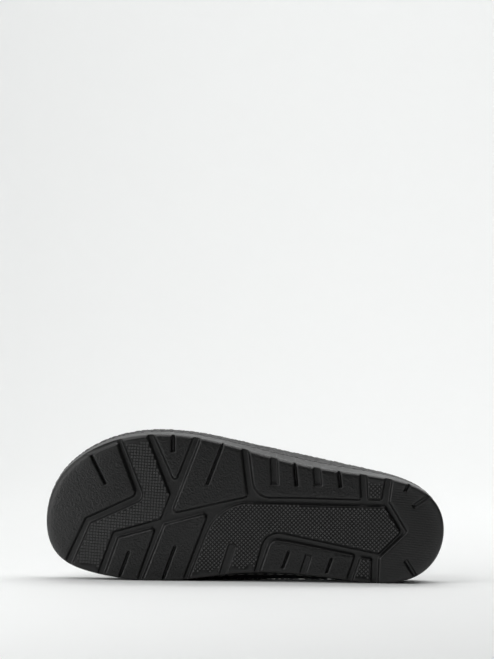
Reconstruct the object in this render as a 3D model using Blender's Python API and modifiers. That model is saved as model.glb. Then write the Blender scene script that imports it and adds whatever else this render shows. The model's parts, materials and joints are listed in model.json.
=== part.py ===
"""Left slide sandal lying on its inner side: outsole, midsole, insole and band upper."""
import math

import bmesh
import bpy
import numpy as np
from mathutils import Matrix, Vector

for item in list(bpy.data.objects):
    bpy.data.objects.remove(item, do_unlink=True)

# Driving sizes in millimetres. Shoe axes: heel to toe, inner to outer side, ground to top.
LENGTH = 281.0
TOE_SPRING = 9.0
SPRING_START = 0.76
GROOVE_DRAFT = 0.2
GROOVE_STEP = 8.0
CUTTER_REACH = 3.0
SEAM_DEPTH = 1.2
GAP = 0.3
RIM_SWELL = 0.3
RIM_EDGE = 1.2
LIP = 3.0
LIP_EDGE = 0.5
TRAY_DEPTH = 6.5
INSOLE_DROP = 1.2
INSOLE_EDGE = 0.9
INSOLE_COLUMNS = 8
STRAP_WALL = 2.6
STRAP_POWER = 2.9
STRAP_ACROSS = 26
STRAP_ALONG = 14
SLOT_FADE = 0.02
OUTLINE_POINTS = 84

# Tread outline against the angle round it, from the heel end at 0 to the toe end at 180 degrees.
OUTLINE_COLUMNS = ("angle", "outer", "inner", "outer_flare", "inner_flare", "outer_edge", "inner_edge")
OUTLINE_ROWS = (
    (0, 1.0, 1.0, 0.0, 0.0, 1.5, 1.5),
    (15, 19.0, -17.6, 0.1, 0.0, 1.4, 1.8),
    (30, 31.5, -31.2, 0.4, -0.2, 1.2, 2.2),
    (45, 36.7, -37.4, 2.0, -0.3, 1.0, 2.4),
    (60, 37.9, -37.4, 4.6, 2.9, 0.9, 2.4),
    (75, 39.7, -37.0, 6.7, 6.5, 0.9, 2.4),
    (90, 45.2, -40.8, 5.3, 6.3, 0.9, 2.4),
    (105, 50.6, -49.0, 3.6, 1.3, 0.9, 2.4),
    (120, 49.8, -53.4, 3.4, -0.5, 1.2, 2.6),
    (135, 41.8, -52.3, 3.1, -0.2, 2.2, 3.0),
    (150, 27.4, -47.3, 2.5, 0.4, 3.0, 3.2),
    (165, 8.6, -34.8, 1.9, 1.0, 3.2, 3.2),
    (180, -14.0, -14.0, 1.4, 1.4, 3.2, 3.2),
)

# Heights and footbed shape against the share of the length.
PROFILE_COLUMNS = ("share", "joint", "rim", "cup", "arch")
PROFILE_ROWS = (
    (0.00, 19.0, 33.5, 3.0, 0.0),
    (0.15, 18.8, 33.0, 3.0, 0.3),
    (0.30, 17.2, 30.5, 2.4, 1.4),
    (0.45, 15.0, 26.6, 1.8, 2.0),
    (0.60, 13.2, 23.2, 1.4, 1.2),
    (0.70, 12.7, 22.0, 1.4, 0.3),
    (0.80, 13.0, 22.0, 1.2, 0.0),
    (0.90, 15.2, 24.0, 0.9, 0.0),
    (1.00, 19.6, 27.6, 0.5, 0.0),
)

# Where the band meets the sole, as shares of the length.
BASE_COLUMNS = ("side", "back", "front")
BASE_ROWS = (
    ("outer", 0.400, 0.690),
    ("inner", 0.420, 0.745),
)

# Band section from its back edge at 0 to its front edge at 1.
BAND_COLUMNS = ("along", "height", "outer_bulge", "inner_bulge", "forward", "ridge")
BAND_ROWS = (
    (0.00, 49.0, 0.8, 3.7, 11.0, 9.0),
    (0.33, 46.5, 1.0, 4.2, 9.0, 10.0),
    (0.67, 42.0, 1.0, 4.2, 7.0, 10.0),
    (1.00, 36.0, 0.8, 3.4, 5.0, 9.0),
)

# Channels between the lugs: width at the tread, depth, and centre line along and across the sole.
GROOVE_COLUMNS = ("name", "width", "depth", "path")
GROOVE_ROWS = (
    ("toe", 5.0, 2.2, ((238, 49.5), (218.0, 10.5), (219.0, 3.2), (251.0, -15.6), (261.5, -46.5))),
    ("ball", 5.6, 2.24, ((216, 54), (197, 18.5), (193, 9), (198, -10.6), (230.5, -23.2), (236.6, -48.5))),
    ("wedge", 5.6, 2.16, ((179.3, 56), (187.9, 25.5), (192.5, 9.5))),
    ("middle", 5.3, 2.3, ((198, -10.6), (145, 9.8), (125, 12.4), (61, 17.7), (42, 18.7), (28.4, 0.8))),
    ("heel", 3.8, 2.1, ((28.4, 0.8), (43.5, -18))),
    ("junction", 6.0, 2.26, ((168, -6), (161, -1), (152, 5.5))),
    ("outer waist", 6.2, 2.18, ((147.5, 52), (143.9, 37), (141, 25), (137.5, 13))),
    ("bend", 5.0, 2.12, ((140.5, 22), (136, 15.5), (128, 12.8))),
    ("outer heel front", 6.0, 2.14, ((62, 43), (58.2, 18))),
    ("outer heel back", 6.4, 2.22, ((43, 43), (43.5, 18))),
    ("inner ball", 5.2, 2.17, ((199.5, -13), (202, -20), (209.2, -49))),
    ("inner waist", 5.1, 2.13, ((166, -2), (167.5, -10), (171.3, -25.3), (176.8, -45))),
    ("arch", 5.3, 2.2, ((128, -35.5), (125, -20), (122.8, -15.5), (114, -12.1), (89, -14.4), (44, -18.5))),
    ("inner heel front", 5.0, 2.08, ((59, -19), (62.1, -34.2))),
    ("inner heel back", 6.2, 2.15, ((46.6, -17), (45.3, -34.2))),
    ("outer slot front", 5.8, 1.8, ((126.2, 49), (122.4, 23.7))),
    ("outer slot back", 5.8, 1.8, ((96, 46), (91.8, 26))),
    ("inner slot front", 5.8, 1.8, ((147.7, -21.2), (151.2, -36.8))),
    ("inner slot back", 4.6, 1.8, ((93.4, -22.5), (95.6, -32.6))),
)

# Base colours, linear.
COLOURS = {
    "outsole": (0.030, 0.030, 0.031, 1.0),
    "midsole": (0.024, 0.024, 0.025, 1.0),
    "insole": (0.045, 0.042, 0.040, 1.0),
    "upper": (0.020, 0.019, 0.019, 1.0),
}
ROUGHNESS = {"outsole": 0.7, "midsole": 0.6, "insole": 0.85, "upper": 0.55}


def column(columns, rows, name):
    """Return one named column of a table."""
    place = columns.index(name)
    return np.array([row[place] for row in rows], dtype=float)


def natural_spline(knots, values, at):
    """Interpolate a table smoothly along a line."""
    count = len(knots)
    gaps = np.diff(knots)
    slopes = np.diff(values) / gaps
    system = np.eye(count)
    target = np.zeros(count)
    for i in range(1, count - 1):
        system[i, i - 1:i + 2] = gaps[i - 1], 2 * (gaps[i - 1] + gaps[i]), gaps[i]
        target[i] = 6 * (slopes[i] - slopes[i - 1])
    bend = np.linalg.solve(system, target)
    at = np.clip(at, knots[0], knots[-1])
    cell = np.clip(np.searchsorted(knots, at, side="right") - 1, 0, count - 2)
    width = gaps[cell]
    low = (knots[cell + 1] - at) / width
    high = (at - knots[cell]) / width
    curve = (low ** 3 - low) * bend[cell] + (high ** 3 - high) * bend[cell + 1]
    return low * values[cell] + high * values[cell + 1] + curve * width ** 2 / 6


def round_spline(outer, inner, at):
    """Interpolate outer and inner columns smoothly round the closed outline."""
    loop = np.concatenate([outer, inner[-2:0:-1]])
    count = len(loop)
    step = 2 * math.pi / count
    laps = np.concatenate([loop, loop, loop, loop[:1]])
    knots = (np.arange(len(laps)) - count) * step
    return natural_spline(knots, laps, np.mod(at, 2 * math.pi))


def outline_column(name, at):
    """Interpolate a pair of outline columns at angles round the sole."""
    outer = column(OUTLINE_COLUMNS, OUTLINE_ROWS, "outer" + name)
    inner = column(OUTLINE_COLUMNS, OUTLINE_ROWS, "inner" + name)
    return round_spline(outer, inner, at)


def profile(name, along):
    """Interpolate a profile column at distances from the heel end."""
    shares = column(PROFILE_COLUMNS, PROFILE_ROWS, "share")
    return natural_spline(shares, column(PROFILE_COLUMNS, PROFILE_ROWS, name), np.asarray(along) / LENGTH)


def spring(along):
    """Return the height of the tread, flat to the ball and rising to the toe."""
    rise = np.clip((np.asarray(along) / LENGTH - SPRING_START) / (1 - SPRING_START), 0, None)
    return TOE_SPRING * rise ** 2


def tread(at):
    """Return the tread outline and its outward directions."""
    fine = 1e-4
    along = LENGTH / 2 * (1 - np.cos(at))
    across = outline_column("", at)
    run = LENGTH / 2 * np.sin(at)
    climb = (outline_column("", at + fine) - outline_column("", at - fine)) / (2 * fine)
    size = np.hypot(run, climb)
    return np.column_stack([along, across]), np.column_stack([-climb, run]) / size[:, None]


def wall(at, height, inset):
    """Return points of the side wall, where height is a function of the distance from the heel."""
    points, outward = tread(at)
    along = points[:, 0]
    share = (height(along) - spring(along)) / (profile("rim", along) - spring(along))
    flat = points + outward * (outline_column("_flare", at) * share - inset)[:, None]
    return np.column_stack([flat, height(flat[:, 0])])


ROUND = 2 * math.pi * np.arange(OUTLINE_POINTS) / OUTLINE_POINTS


def level(name, shift=0.0):
    """Return a height function from a profile column and a shift."""
    return lambda along: profile(name, along) + shift


def above_tread(rise):
    """Return a height function that follows the tread at a rise."""
    return lambda along: spring(along) + rise


def add_mesh(name, points, faces, group):
    """Make an object from points and faces, with its faces turned outward."""
    mesh = bpy.data.meshes.new(name)
    mesh.from_pydata([tuple(p) for p in points], [], faces)
    work = bmesh.new()
    work.from_mesh(mesh)
    bmesh.ops.recalc_face_normals(work, faces=work.faces)
    work.to_mesh(mesh)
    work.free()
    item = bpy.data.objects.new(name, mesh)
    group.objects.link(item)
    return item


def ladder(ring, start, columns, shape, points, faces):
    """Close a ring with rows of faces between its outer and inner side."""
    half = len(ring) // 2
    rows = [[start]]
    for i in range(1, half):
        row = [start + i]
        outer = ring[i]
        inner = ring[len(ring) - i]
        for j in range(1, columns):
            share = j / columns
            row.append(len(points))
            points.append(shape(outer + (inner - outer) * share, share))
        row.append(start + len(ring) - i)
        rows.append(row)
    rows.append([start + half])
    for low, high in zip(rows, rows[1:]):
        for j in range(columns):
            corners = [low[min(j, len(low) - 1)], low[min(j + 1, len(low) - 1)]]
            corners += [high[min(j + 1, len(high) - 1)], high[min(j, len(high) - 1)]]
            faces.append(list(dict.fromkeys(corners)))


def loft(name, rings, group, columns=1, shape=None):
    """Join rings from low to high and close both ends."""
    points = [p for ring in rings for p in ring]
    count = len(rings[0])
    faces = []
    for k in range(len(rings) - 1):
        for i in range(count):
            j = (i + 1) % count
            faces.append([k * count + i, (k + 1) * count + i, (k + 1) * count + j, k * count + j])
    ladder(rings[0], 0, 1, None, points, faces)
    ladder(rings[-1], (len(rings) - 1) * count, columns, shape, points, faces)
    return add_mesh(name, points, faces, group)


def make_outsole(group):
    """Loft the outsole from the tread up to the seam."""
    edge = outline_column("_edge", ROUND)
    rings = []
    for turn in (0, 30, 60, 90):
        lean = math.radians(turn)
        rise = edge * (1 - math.cos(lean))
        rings.append(wall(ROUND, above_tread(rise), edge * (1 - math.sin(lean))))
    rings.append(wall(ROUND, level("joint", -SEAM_DEPTH), 0.0))
    rings.append(wall(ROUND, level("joint"), SEAM_DEPTH))
    return loft("outsole", rings, group)


def make_midsole(group):
    """Loft the rim from the seam over its lip and down to the tray floor."""

    def middle(along):
        return (profile("joint", along) + profile("rim", along)) / 2

    rings = [
        wall(ROUND, level("joint", GAP), SEAM_DEPTH),
        wall(ROUND, level("joint", GAP + SEAM_DEPTH), 0.0),
        wall(ROUND, middle, -RIM_SWELL),
        wall(ROUND, level("rim", -RIM_EDGE), 0.0),
        wall(ROUND, level("rim", -0.3 * RIM_EDGE), 0.3 * RIM_EDGE),
        wall(ROUND, level("rim"), RIM_EDGE),
        wall(ROUND, level("rim"), LIP - LIP_EDGE),
        wall(ROUND, level("rim", -LIP_EDGE), LIP),
        wall(ROUND, level("rim", -TRAY_DEPTH), LIP),
    ]
    return loft("midsole", rings, group)


def angle_at(share):
    """Return the outline angle at a share of the length."""
    return math.acos(1 - 2 * share)


def base_span(side):
    """Return the outline angles of the band's back and front edge on one side."""
    row = BASE_ROWS[[r[0] for r in BASE_ROWS].index(side)]
    span = [angle_at(row[BASE_COLUMNS.index(name)]) for name in ("back", "front")]
    return span if side == "outer" else [2 * math.pi - a for a in span]


def smooth_step(value):
    """Ease from 0 to 1."""
    value = np.clip(value, 0, 1)
    return value * value * (3 - 2 * value)


def slot_room():
    """Return how far the insole stays clear of the band round the outline."""
    room = np.zeros(OUTLINE_POINTS)
    for side in ("outer", "inner"):
        low, high = sorted(base_span(side))
        fade = 2 * math.pi * SLOT_FADE
        lead = smooth_step((ROUND - low + 2 * fade) / fade)
        room += lead * smooth_step((high + 2 * fade - ROUND) / fade)
    return room * (STRAP_WALL + GAP)


def make_insole(group):
    """Loft the footbed with its heel cup and arch."""
    inset = LIP + GAP + slot_room()
    top = -INSOLE_DROP

    def bed(point, share):
        cup = profile("cup", point[0]) * (1 - (2 * share - 1) ** 2)
        rise = profile("arch", point[0]) * np.clip(1 - ((share - 0.78) / 0.22) ** 2, 0, None)
        return point + np.array([0.0, 0.0, float(rise - cup)])

    rings = [
        wall(ROUND, level("rim", GAP - TRAY_DEPTH), inset),
        wall(ROUND, level("rim", top - INSOLE_EDGE), inset),
        wall(ROUND, level("rim", top - 0.3 * INSOLE_EDGE), inset + 0.3 * INSOLE_EDGE),
        wall(ROUND, level("rim", top), inset + INSOLE_EDGE),
    ]
    return loft("insole", rings, group, INSOLE_COLUMNS, bed)


def band(name, along):
    """Interpolate a band column between its back and front edge."""
    knots = column(BAND_COLUMNS, BAND_ROWS, "along")
    return natural_spline(knots, column(BAND_COLUMNS, BAND_ROWS, name), along)


def make_upper(group):
    """Loft the outer face of the band and give it its wall."""
    along = np.linspace(0, 1, STRAP_ALONG + 1)
    inset = LIP + GAP
    feet = {}
    for side in ("outer", "inner"):
        back, front = base_span(side)
        at = back + (front - back) * along
        feet[side] = [wall(at, level("rim", GAP - TRAY_DEPTH), inset)]
        feet[side].append(wall(at, level("rim", GAP - TRAY_DEPTH / 2), inset))
        feet[side].append(wall(at, level("rim"), inset))
    height, ridge, forward = (band(name, along) for name in ("height", "ridge", "forward"))
    outer_bulge, inner_bulge = band("outer_bulge", along), band("inner_bulge", along)
    outer, inner = feet["outer"][-1], feet["inner"][-1]
    rows = list(feet["outer"])
    for turn in np.linspace(0, math.pi, STRAP_ACROSS + 1)[1:-1]:
        lift = math.sin(turn) ** (2 / STRAP_POWER)
        reach = math.copysign(abs(math.cos(turn)) ** (2 / STRAP_POWER), math.cos(turn))
        point = (outer + inner) / 2 + (outer - inner) / 2 * reach
        swell = outer_bulge if reach > 0 else -inner_bulge
        point[:, 0] += forward * lift
        point[:, 1] += swell * 4 * lift * (1 - lift) - ridge * lift ** 2
        point[:, 2] += height * lift
        rows.append(point)
    rows += feet["inner"][::-1]
    points = [p for row in rows for p in row]
    count = STRAP_ALONG + 1
    faces = []
    for i in range(len(rows) - 1):
        for j in range(STRAP_ALONG):
            low = i * count + j
            faces.append([low, low + 1, low + 1 + count, low + count])
    item = add_mesh("upper", points, faces, group)
    if item.data.polygons[len(faces) // 2].normal.z < 0:
        item.data.flip_normals()
    return item


def make_cutter(name, width, depth, path, group):
    """Loft one channel cutter along its path, following the toe spring."""
    line = [np.array(path[0], dtype=float)]
    for low, high in zip(path, path[1:]):
        low, high = np.array(low, dtype=float), np.array(high, dtype=float)
        sprung = max(low[0], high[0]) > SPRING_START * LENGTH
        steps = math.ceil(np.linalg.norm(high - low) / GROOVE_STEP) if sprung else 1
        line += [low + (high - low) * k / steps for k in range(1, steps + 1)]
    line = np.array(line)
    legs = np.diff(line, axis=0)
    legs /= np.linalg.norm(legs, axis=1)[:, None]
    sides = np.column_stack([-legs[:, 1], legs[:, 0]])
    points = []
    for i, centre in enumerate(line):
        before, after = sides[max(i - 1, 0)], sides[min(i, len(sides) - 1)]
        mitre = (before + after) / (1 + float(before @ after))
        for sign, rise in ((1, -CUTTER_REACH), (-1, -CUTTER_REACH), (-1, depth), (1, depth)):
            flat = centre + mitre * sign * (width / 2 - GROOVE_DRAFT * rise)
            points.append((flat[0], flat[1], float(spring(flat[0])) + rise))
    faces = [[0, 1, 2, 3], [len(points) - 4 + k for k in range(4)]]
    for i in range(len(line) - 1):
        for k in range(4):
            low, high = i * 4 + k, i * 4 + (k + 1) % 4
            faces.append([low, high, high + 4, low + 4])
    return add_mesh("cut " + name, points, faces, group)


def resting_frame(items):
    """Find the facet that the shoe rests on with its inner side down, and the frame standing on it."""
    cloud = bmesh.new()
    total, moment = 0.0, np.zeros(3)
    for item in items:
        cloud.from_mesh(item.data)
        for face in item.data.polygons:
            total += face.area
            moment += face.area * np.array(face.center)
    middle = moment / total
    hull = bmesh.ops.convex_hull(cloud, input=cloud.verts)
    down = None
    for face in (g for g in hull["geom"] if isinstance(g, bmesh.types.BMFace)):
        if face.normal.y > -0.9:
            continue
        flat = [np.array((v.co.x, v.co.z)) for v in face.verts]
        target = np.array((middle[0], middle[2]))
        turns = []
        for a, b in zip(flat, flat[1:] + flat[:1]):
            turns.append((b[0] - a[0]) * (target[1] - a[1]) - (b[1] - a[1]) * (target[0] - a[0]))
        if min(turns) >= 0 or max(turns) <= 0:
            down = face.normal.copy()
    cloud.free()
    up = -down
    right = Vector((-1, 0, 0))
    right = (right - up * right.dot(up)).normalized()
    turn = Matrix((right, up.cross(right), up)).to_4x4()
    spots = np.array([turn @ v.co for item in items for v in item.data.vertices])
    low, high = spots.min(axis=0), spots.max(axis=0)
    shift = Matrix.Translation((-(low[0] + high[0]) / 2, -(low[1] + high[1]) / 2, -low[2]))
    return Matrix.Scale(0.001, 4) @ shift @ turn


def finish(item):
    """Give a piece its material and smooth shading."""
    paint = bpy.data.materials.new(item.name)
    paint.use_nodes = True
    shader = paint.node_tree.nodes["Principled BSDF"]
    shader.inputs["Base Color"].default_value = COLOURS[item.name]
    shader.inputs["Roughness"].default_value = ROUGHNESS[item.name]
    item.data.materials.append(paint)
    item.data.shade_smooth()


def build():
    """Make the shoe, lay it on its inner side and cut the tread."""
    pieces = bpy.data.collections.new("slide sandal")
    cutters = bpy.data.collections.new("cutters")
    bpy.context.scene.collection.children.link(pieces)
    bpy.context.scene.collection.children.link(cutters)
    items = [make_outsole(pieces), make_midsole(pieces), make_insole(pieces), make_upper(pieces)]
    tools = [make_cutter(*row, cutters) for row in GROOVE_ROWS]
    frame = resting_frame(items)
    for item in items + tools:
        item.data.transform(frame)
    for item in items:
        finish(item)
    for tool in tools:
        tool.hide_render = True
        tool.display_type = "WIRE"
        cut = items[0].modifiers.new(tool.name, "BOOLEAN")
        cut.operation = "DIFFERENCE"
        cut.solver = "EXACT"
        cut.object = tool
    shell = items[3].modifiers.new("wall", "SOLIDIFY")
    shell.thickness = STRAP_WALL * 0.001
    shell.offset = -1.0
    shell.use_even_offset = True


build()
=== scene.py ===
"""Looks of a left slide sandal that lies on its inner side with its sole to the camera."""
import json
import math
from collections import namedtuple

import bmesh
import bpy
import numpy as np
from mathutils import Matrix, Vector, geometry, noise


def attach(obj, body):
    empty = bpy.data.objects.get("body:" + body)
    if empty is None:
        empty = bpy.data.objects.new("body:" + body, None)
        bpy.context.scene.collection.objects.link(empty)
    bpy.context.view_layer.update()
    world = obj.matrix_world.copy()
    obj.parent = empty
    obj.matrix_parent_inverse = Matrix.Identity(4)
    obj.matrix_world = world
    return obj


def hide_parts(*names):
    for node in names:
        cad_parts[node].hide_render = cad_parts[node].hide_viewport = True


bl_info = {
    "name": "Slide Sandal",
    "version": (1, 0, 0),
    "blender": (4, 5, 0),
    "location": "View3D > Sidebar > Sandal",
    "description": "Builds the finished surfaces of a slide sandal around its solid pieces",
    "category": "Object",
}

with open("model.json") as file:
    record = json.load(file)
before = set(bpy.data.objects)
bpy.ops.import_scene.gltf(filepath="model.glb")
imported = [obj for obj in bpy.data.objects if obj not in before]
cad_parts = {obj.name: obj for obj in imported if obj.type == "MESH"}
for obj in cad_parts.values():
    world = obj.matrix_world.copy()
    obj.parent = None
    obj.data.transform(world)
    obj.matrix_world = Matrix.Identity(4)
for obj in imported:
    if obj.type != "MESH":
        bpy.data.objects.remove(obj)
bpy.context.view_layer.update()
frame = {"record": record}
BODY = "root"

# Sizes in millimetres and shares. Shoe axes: heel to toe, inner to outer side, ground to top.
MM = 0.001
LENGTH = 281.0
MOUNT_FROM_HEEL = 14.0
TOE_SPRING = 9.0
SPRING_START = 0.76
ARCH_HOLLOW = 0.65
HEEL_ROLL = 0.9
HEEL_ROLL_END = 0.08
GAP = 0.3
RIM_SWELL = 0.3
RIM_EDGE = 1.2
LIP = 3.0
LIP_EDGE = 0.5
TRAY_DEPTH = 6.5
INSOLE_DROP = 1.2
INSOLE_EDGE = 0.9
STRAP_POWER = 2.9
SLOT_FADE = 0.008
FLOOR_CLEAR = 0.01
SEAM_INSET = 0.15
SETTLE_REACH = 2.6
SETTLE_STEEP = 2.0
SETTLE_RISE = 1.6
PEBBLE_RISE = 5.0
ROUNDING = 0.3
FLARE_REACH = 3.0
SLOT_LEAD = 1.3
SLOT_ROUND = 0.48
FOLD_EASE = 1.2
CREASE_SLOPE = 3.0
LINING_PRESS = 0.5
PEBBLE_SLOPE = 2.6
ARCH_MIDDLE = 0.78
ARCH_HALF = 0.22

# Heights at which the band's foot is held under the rim, as shares of the tray's depth and of the gap.
FOOT_ROWS = ((-1.0, 1.0), (-0.75, 1.0), (-0.5, 1.0), (-0.25, 0.0), (0.0, 0.0))

# Tread outline against the angle round it, from the heel end at 0 to the toe end at 180 degrees.
OUTLINE_COLUMNS = ("angle", "outer", "inner", "outer_flare", "inner_flare", "outer_edge", "inner_edge")
OUTLINE_ROWS = (
    (0, 1.0, 1.0, 0.0, 0.0, 2.2, 2.2),
    (15, 19.0, -17.6, 0.1, 0.0, 2.2, 2.2),
    (30, 31.5, -31.2, 0.4, -0.2, 2.2, 2.2),
    (45, 36.7, -37.4, 2.0, -0.3, 2.2, 2.4),
    (60, 37.9, -37.4, 4.6, 2.9, 2.4, 2.4),
    (75, 39.7, -37.0, 6.7, 6.5, 2.6, 2.4),
    (90, 45.2, -40.8, 5.3, 6.3, 2.6, 2.4),
    (105, 50.6, -49.0, 3.6, 1.3, 2.4, 2.4),
    (120, 49.8, -53.4, 3.4, -0.5, 2.4, 2.6),
    (135, 41.8, -52.3, 2.8, -0.2, 2.8, 3.0),
    (150, 27.4, -47.3, 2.0, 0.2, 3.4, 3.2),
    (165, 8.6, -34.8, 1.2, 0.5, 3.6, 3.4),
    (180, -14.0, -14.0, 0.8, 0.8, 3.6, 3.6),
)

# Heights and footbed shape against the share of the length.
PROFILE_COLUMNS = ("share", "joint", "rim", "cup", "arch")
PROFILE_ROWS = (
    (0.00, 19.0, 33.5, 3.0, 0.0),
    (0.15, 18.8, 33.0, 3.0, 0.3),
    (0.30, 17.2, 30.5, 2.4, 1.4),
    (0.45, 15.0, 26.6, 1.8, 2.0),
    (0.60, 13.2, 23.2, 1.4, 1.2),
    (0.70, 12.7, 22.0, 1.4, 0.3),
    (0.80, 13.0, 22.0, 1.2, 0.0),
    (0.90, 15.2, 24.0, 0.9, 0.0),
    (1.00, 19.6, 27.6, 0.5, 0.0),
)

# Where the band meets the sole, as shares of the length.
BASE_COLUMNS = ("side", "back", "front")
BASE_ROWS = (
    ("outer", 0.400, 0.690),
    ("inner", 0.420, 0.745),
)

# Band section from its back edge at 0 to its front edge at 1.
BAND_COLUMNS = ("along", "height", "outer_bulge", "inner_bulge", "forward", "ridge")
BAND_ROWS = (
    (0.00, 49.0, 0.8, 3.7, 11.0, 9.0),
    (0.33, 46.5, 1.0, 4.2, 9.0, 10.0),
    (0.67, 42.0, 1.0, 4.2, 7.0, 10.0),
    (1.00, 36.0, 0.8, 3.4, 5.0, 9.0),
)

# Soft creases of the band: side, rise over the rim, middle and reach along it, depth and width.
CREASE_COLUMNS = ("side", "rise", "middle", "reach", "depth", "width")
CREASE_ROWS = (
    ("outer", 9.0, 0.30, 0.30, 0.90, 2.6),
    ("outer", 16.0, 0.62, 0.36, 0.80, 2.9),
    ("outer", 25.0, 0.36, 0.40, 0.70, 3.2),
    ("inner", 8.0, 0.66, 0.32, 0.90, 2.6),
    ("inner", 16.0, 0.34, 0.36, 0.80, 2.9),
    ("inner", 25.0, 0.58, 0.40, 0.70, 3.2),
)

# Lugs of the tread: finish of the top, and corners along and across the sole with their radius.
LUG_COLUMNS = ("name", "finish", "corners")
LUG_ROWS = (
    ("toe pad", "grain", ((236.4, 40.7, 1), (219.3, 6.7, 3.6), (253.3, -13.7, 1.5), (267.5, -54.3, 1),
                          (300, -54, 1), (300, 20, 1), (268, 26, 1), (254.5, 31.1, 4))),
    ("toe bow", "squares", ((237, 53, 1), (211.5, 4.1, 7), (248.6, -17.5, 1.4), (260, -53.6, 1),
                            (242.7, -59, 1), (232.8, -21.1, 1.8), (200.6, -8.4, 1.6), (195.9, 8.9, 1.8),
                            (221.5, 58, 1))),
    ("ball wedge", "grain", ((215.5, 58.2, 1), (192.8, 18.8, 1.3), (181.8, 58.5, 1))),
    ("ball pad", "grain", ((175.4, 58.6, 1), (192.2, -3.4, 2.1), (141.4, 13.8, 1.6), (151.9, 58, 1))),
    ("outer waist pad", "grain", ((145.6, 58, 1), (135.2, 13.9, 12), (104, 17.2, 20), (61.4, 20.3, 1.2),
                                  (66.6, 52, 1))),
    ("outer heel block", "diamonds", ((59.6, 48, 1), (55.5, 21.2, 1.1), (47, 21.8, 1.1), (45.5, 48.5, 1))),
    ("heel pad", "lines", ((39.4, 48, 1), (40.3, 20.8, 1.6), (25.4, 0.9, 2.5), (43.1, -19.6, 1.6),
                           (41.2, -48, 1), (-20, -48, 1), (-20, 48, 1))),
    ("middle panel", "diamonds", ((177.5, -57.3, 1), (160.1, 6.9, 32), (43.7, 16.2, 1.3), (31.3, 0.4, 1.6),
                                  (44.8, -16.1, 1.3), (125.6, -7.6, 13), (133.5, -53.5, 1))),
    ("arch pad", "grain", ((128.6, -49, 1), (120.8, -15.1, 5.5), (107.7, -15.4, 20), (61.5, -20, 1.2),
                           (68.5, -49, 1))),
    ("inner heel block", "diamonds", ((62.6, -47.5, 1), (56.4, -21.2, 1), (49.5, -21.3, 1),
                                      (47.5, -48.5, 1))),
    ("inner toe pad", "grain", ((236.8, -61, 1), (228.1, -25.3, 1.3), (203.4, -16, 1.6), (214.2, -60, 1))),
    ("inner ball pad", "grain", ((209.5, -59.5, 1), (196.6, -12.6, 1.5), (167.6, -1.7, 1.9),
                                 (183, -59.5, 1))),
)

# Slots and narrow cuts in the lugs: width, depth, corner radius and the two ends of the centre line.
SLOT_COLUMNS = ("width", "depth", "corner", "start", "end")
SLOT_ROWS = (
    (5.8, 1.8, 0.9, (122.4, 23.7), (126.2, 50)),
    (5.8, 1.8, 0.9, (91.8, 26), (96, 47)),
    (5.8, 1.8, 2.6, (147.5, -20.6), (154.2, -52)),
    (4.8, 1.8, 0.9, (93.3, -22.6), (97.6, -42)),
    (1.9, 2.6, 0.9, (253.9, 30.7), (241.1, 11.2)),
    (3.0, 2.6, 1.3, (198.2, 57), (196.3, 38.9)),
    (2.2, 2.6, 1.0, (161.0, 53), (170, 18.9)),
    (2.6, 2.6, 1.0, (111.6, 47), (106.9, 24.3)),
    (2.6, 2.6, 1.0, (80.1, 45), (76.1, 26.6)),
    (1.9, 2.6, 0.9, (107.4, -21.5), (110.7, -34)),
    (1.9, 2.6, 0.9, (76.9, -23.1), (79.6, -34.1)),
    (2.8, 2.2, 1.0, (26.2, 38.4), (30.8, 29)),
    (3.4, 1.5, 1.0, (10.7, 29.8), (24, 19)),
    (3.4, 1.6, 1.0, (25.3, -18.6), (16.2, -30.3)),
    (2.1, 2.6, 1.0, (219.8, -34), (224.6, -53)),
    (2.1, 2.6, 1.0, (187.7, -26.6), (194, -51.5)),
)

# Walls of lugs and slots: distance past the top edge, and the share of the depth reached there.
EDGE_COLUMNS = ("across", "share")
LUG_EDGE_ROWS = ((-0.8, 0.0), (-0.45, 0.03), (0.1, 0.15), (0.35, 0.32), (0.9, 0.78), (1.2, 0.9),
                 (1.55, 0.98), (1.9, 1.0))
SLOT_EDGE_ROWS = ((-0.65, 0.0), (-0.35, 0.025), (0.1, 0.13), (0.3, 0.36), (0.6, 0.72), (0.85, 0.92),
                  (1.15, 1.0))

# Grained finishes: gloss, sheen, size and depth of the grain in metres, and amount of handling marks.
FINISH_COLUMNS = ("name", "gloss", "sheen", "size", "depth", "marks")
FINISH_ROWS = (
    ("grained rim", 0.4, 0.0, 0.0011, 0.0001, 0.25),
    ("footbed cover", 0.3, 0.15, 0.0018, 0.0003, 0.3),
    ("band leather", 0.45, 0.0, 0.0018, 0.00035, 0.3),
    ("band lining", 0.5, 0.3, 0.0007, 0.00012, 0.3),
)

# Studs of the sunk panels: settings of their pitch and turn, radius of the top, and how much lighter its
# top is painted as a highlight.
STUD_COLUMNS = ("finish", "pitch", "turn", "top", "wear")
STUD_ROWS = (
    ("squares", "square_pitch", "square_turn", 0.56, 0.72),
    ("diamonds", "diamond_pitch", "diamond_turn", 0.42, 1.0),
)

# Rim from its outer edge over the lip to the tray floor: drop, inset, and shares of pebbles and settling.
LIP_COLUMNS = ("drop", "inset", "pebbled", "settled")
LIP_ROWS = (
    (ROUNDING * RIM_EDGE, ROUNDING * RIM_EDGE, 1.0, 1.0),
    (0.0, RIM_EDGE, 0.7, 0.6),
    (0.0, (RIM_EDGE + LIP - LIP_EDGE) / 2, 0.4, 0.2),
    (0.0, LIP - LIP_EDGE, 0.0, 0.0),
    (LIP_EDGE, LIP, 0.0, 0.0),
    (TRAY_DEPTH, LIP, 0.0, 0.0),
)

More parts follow.
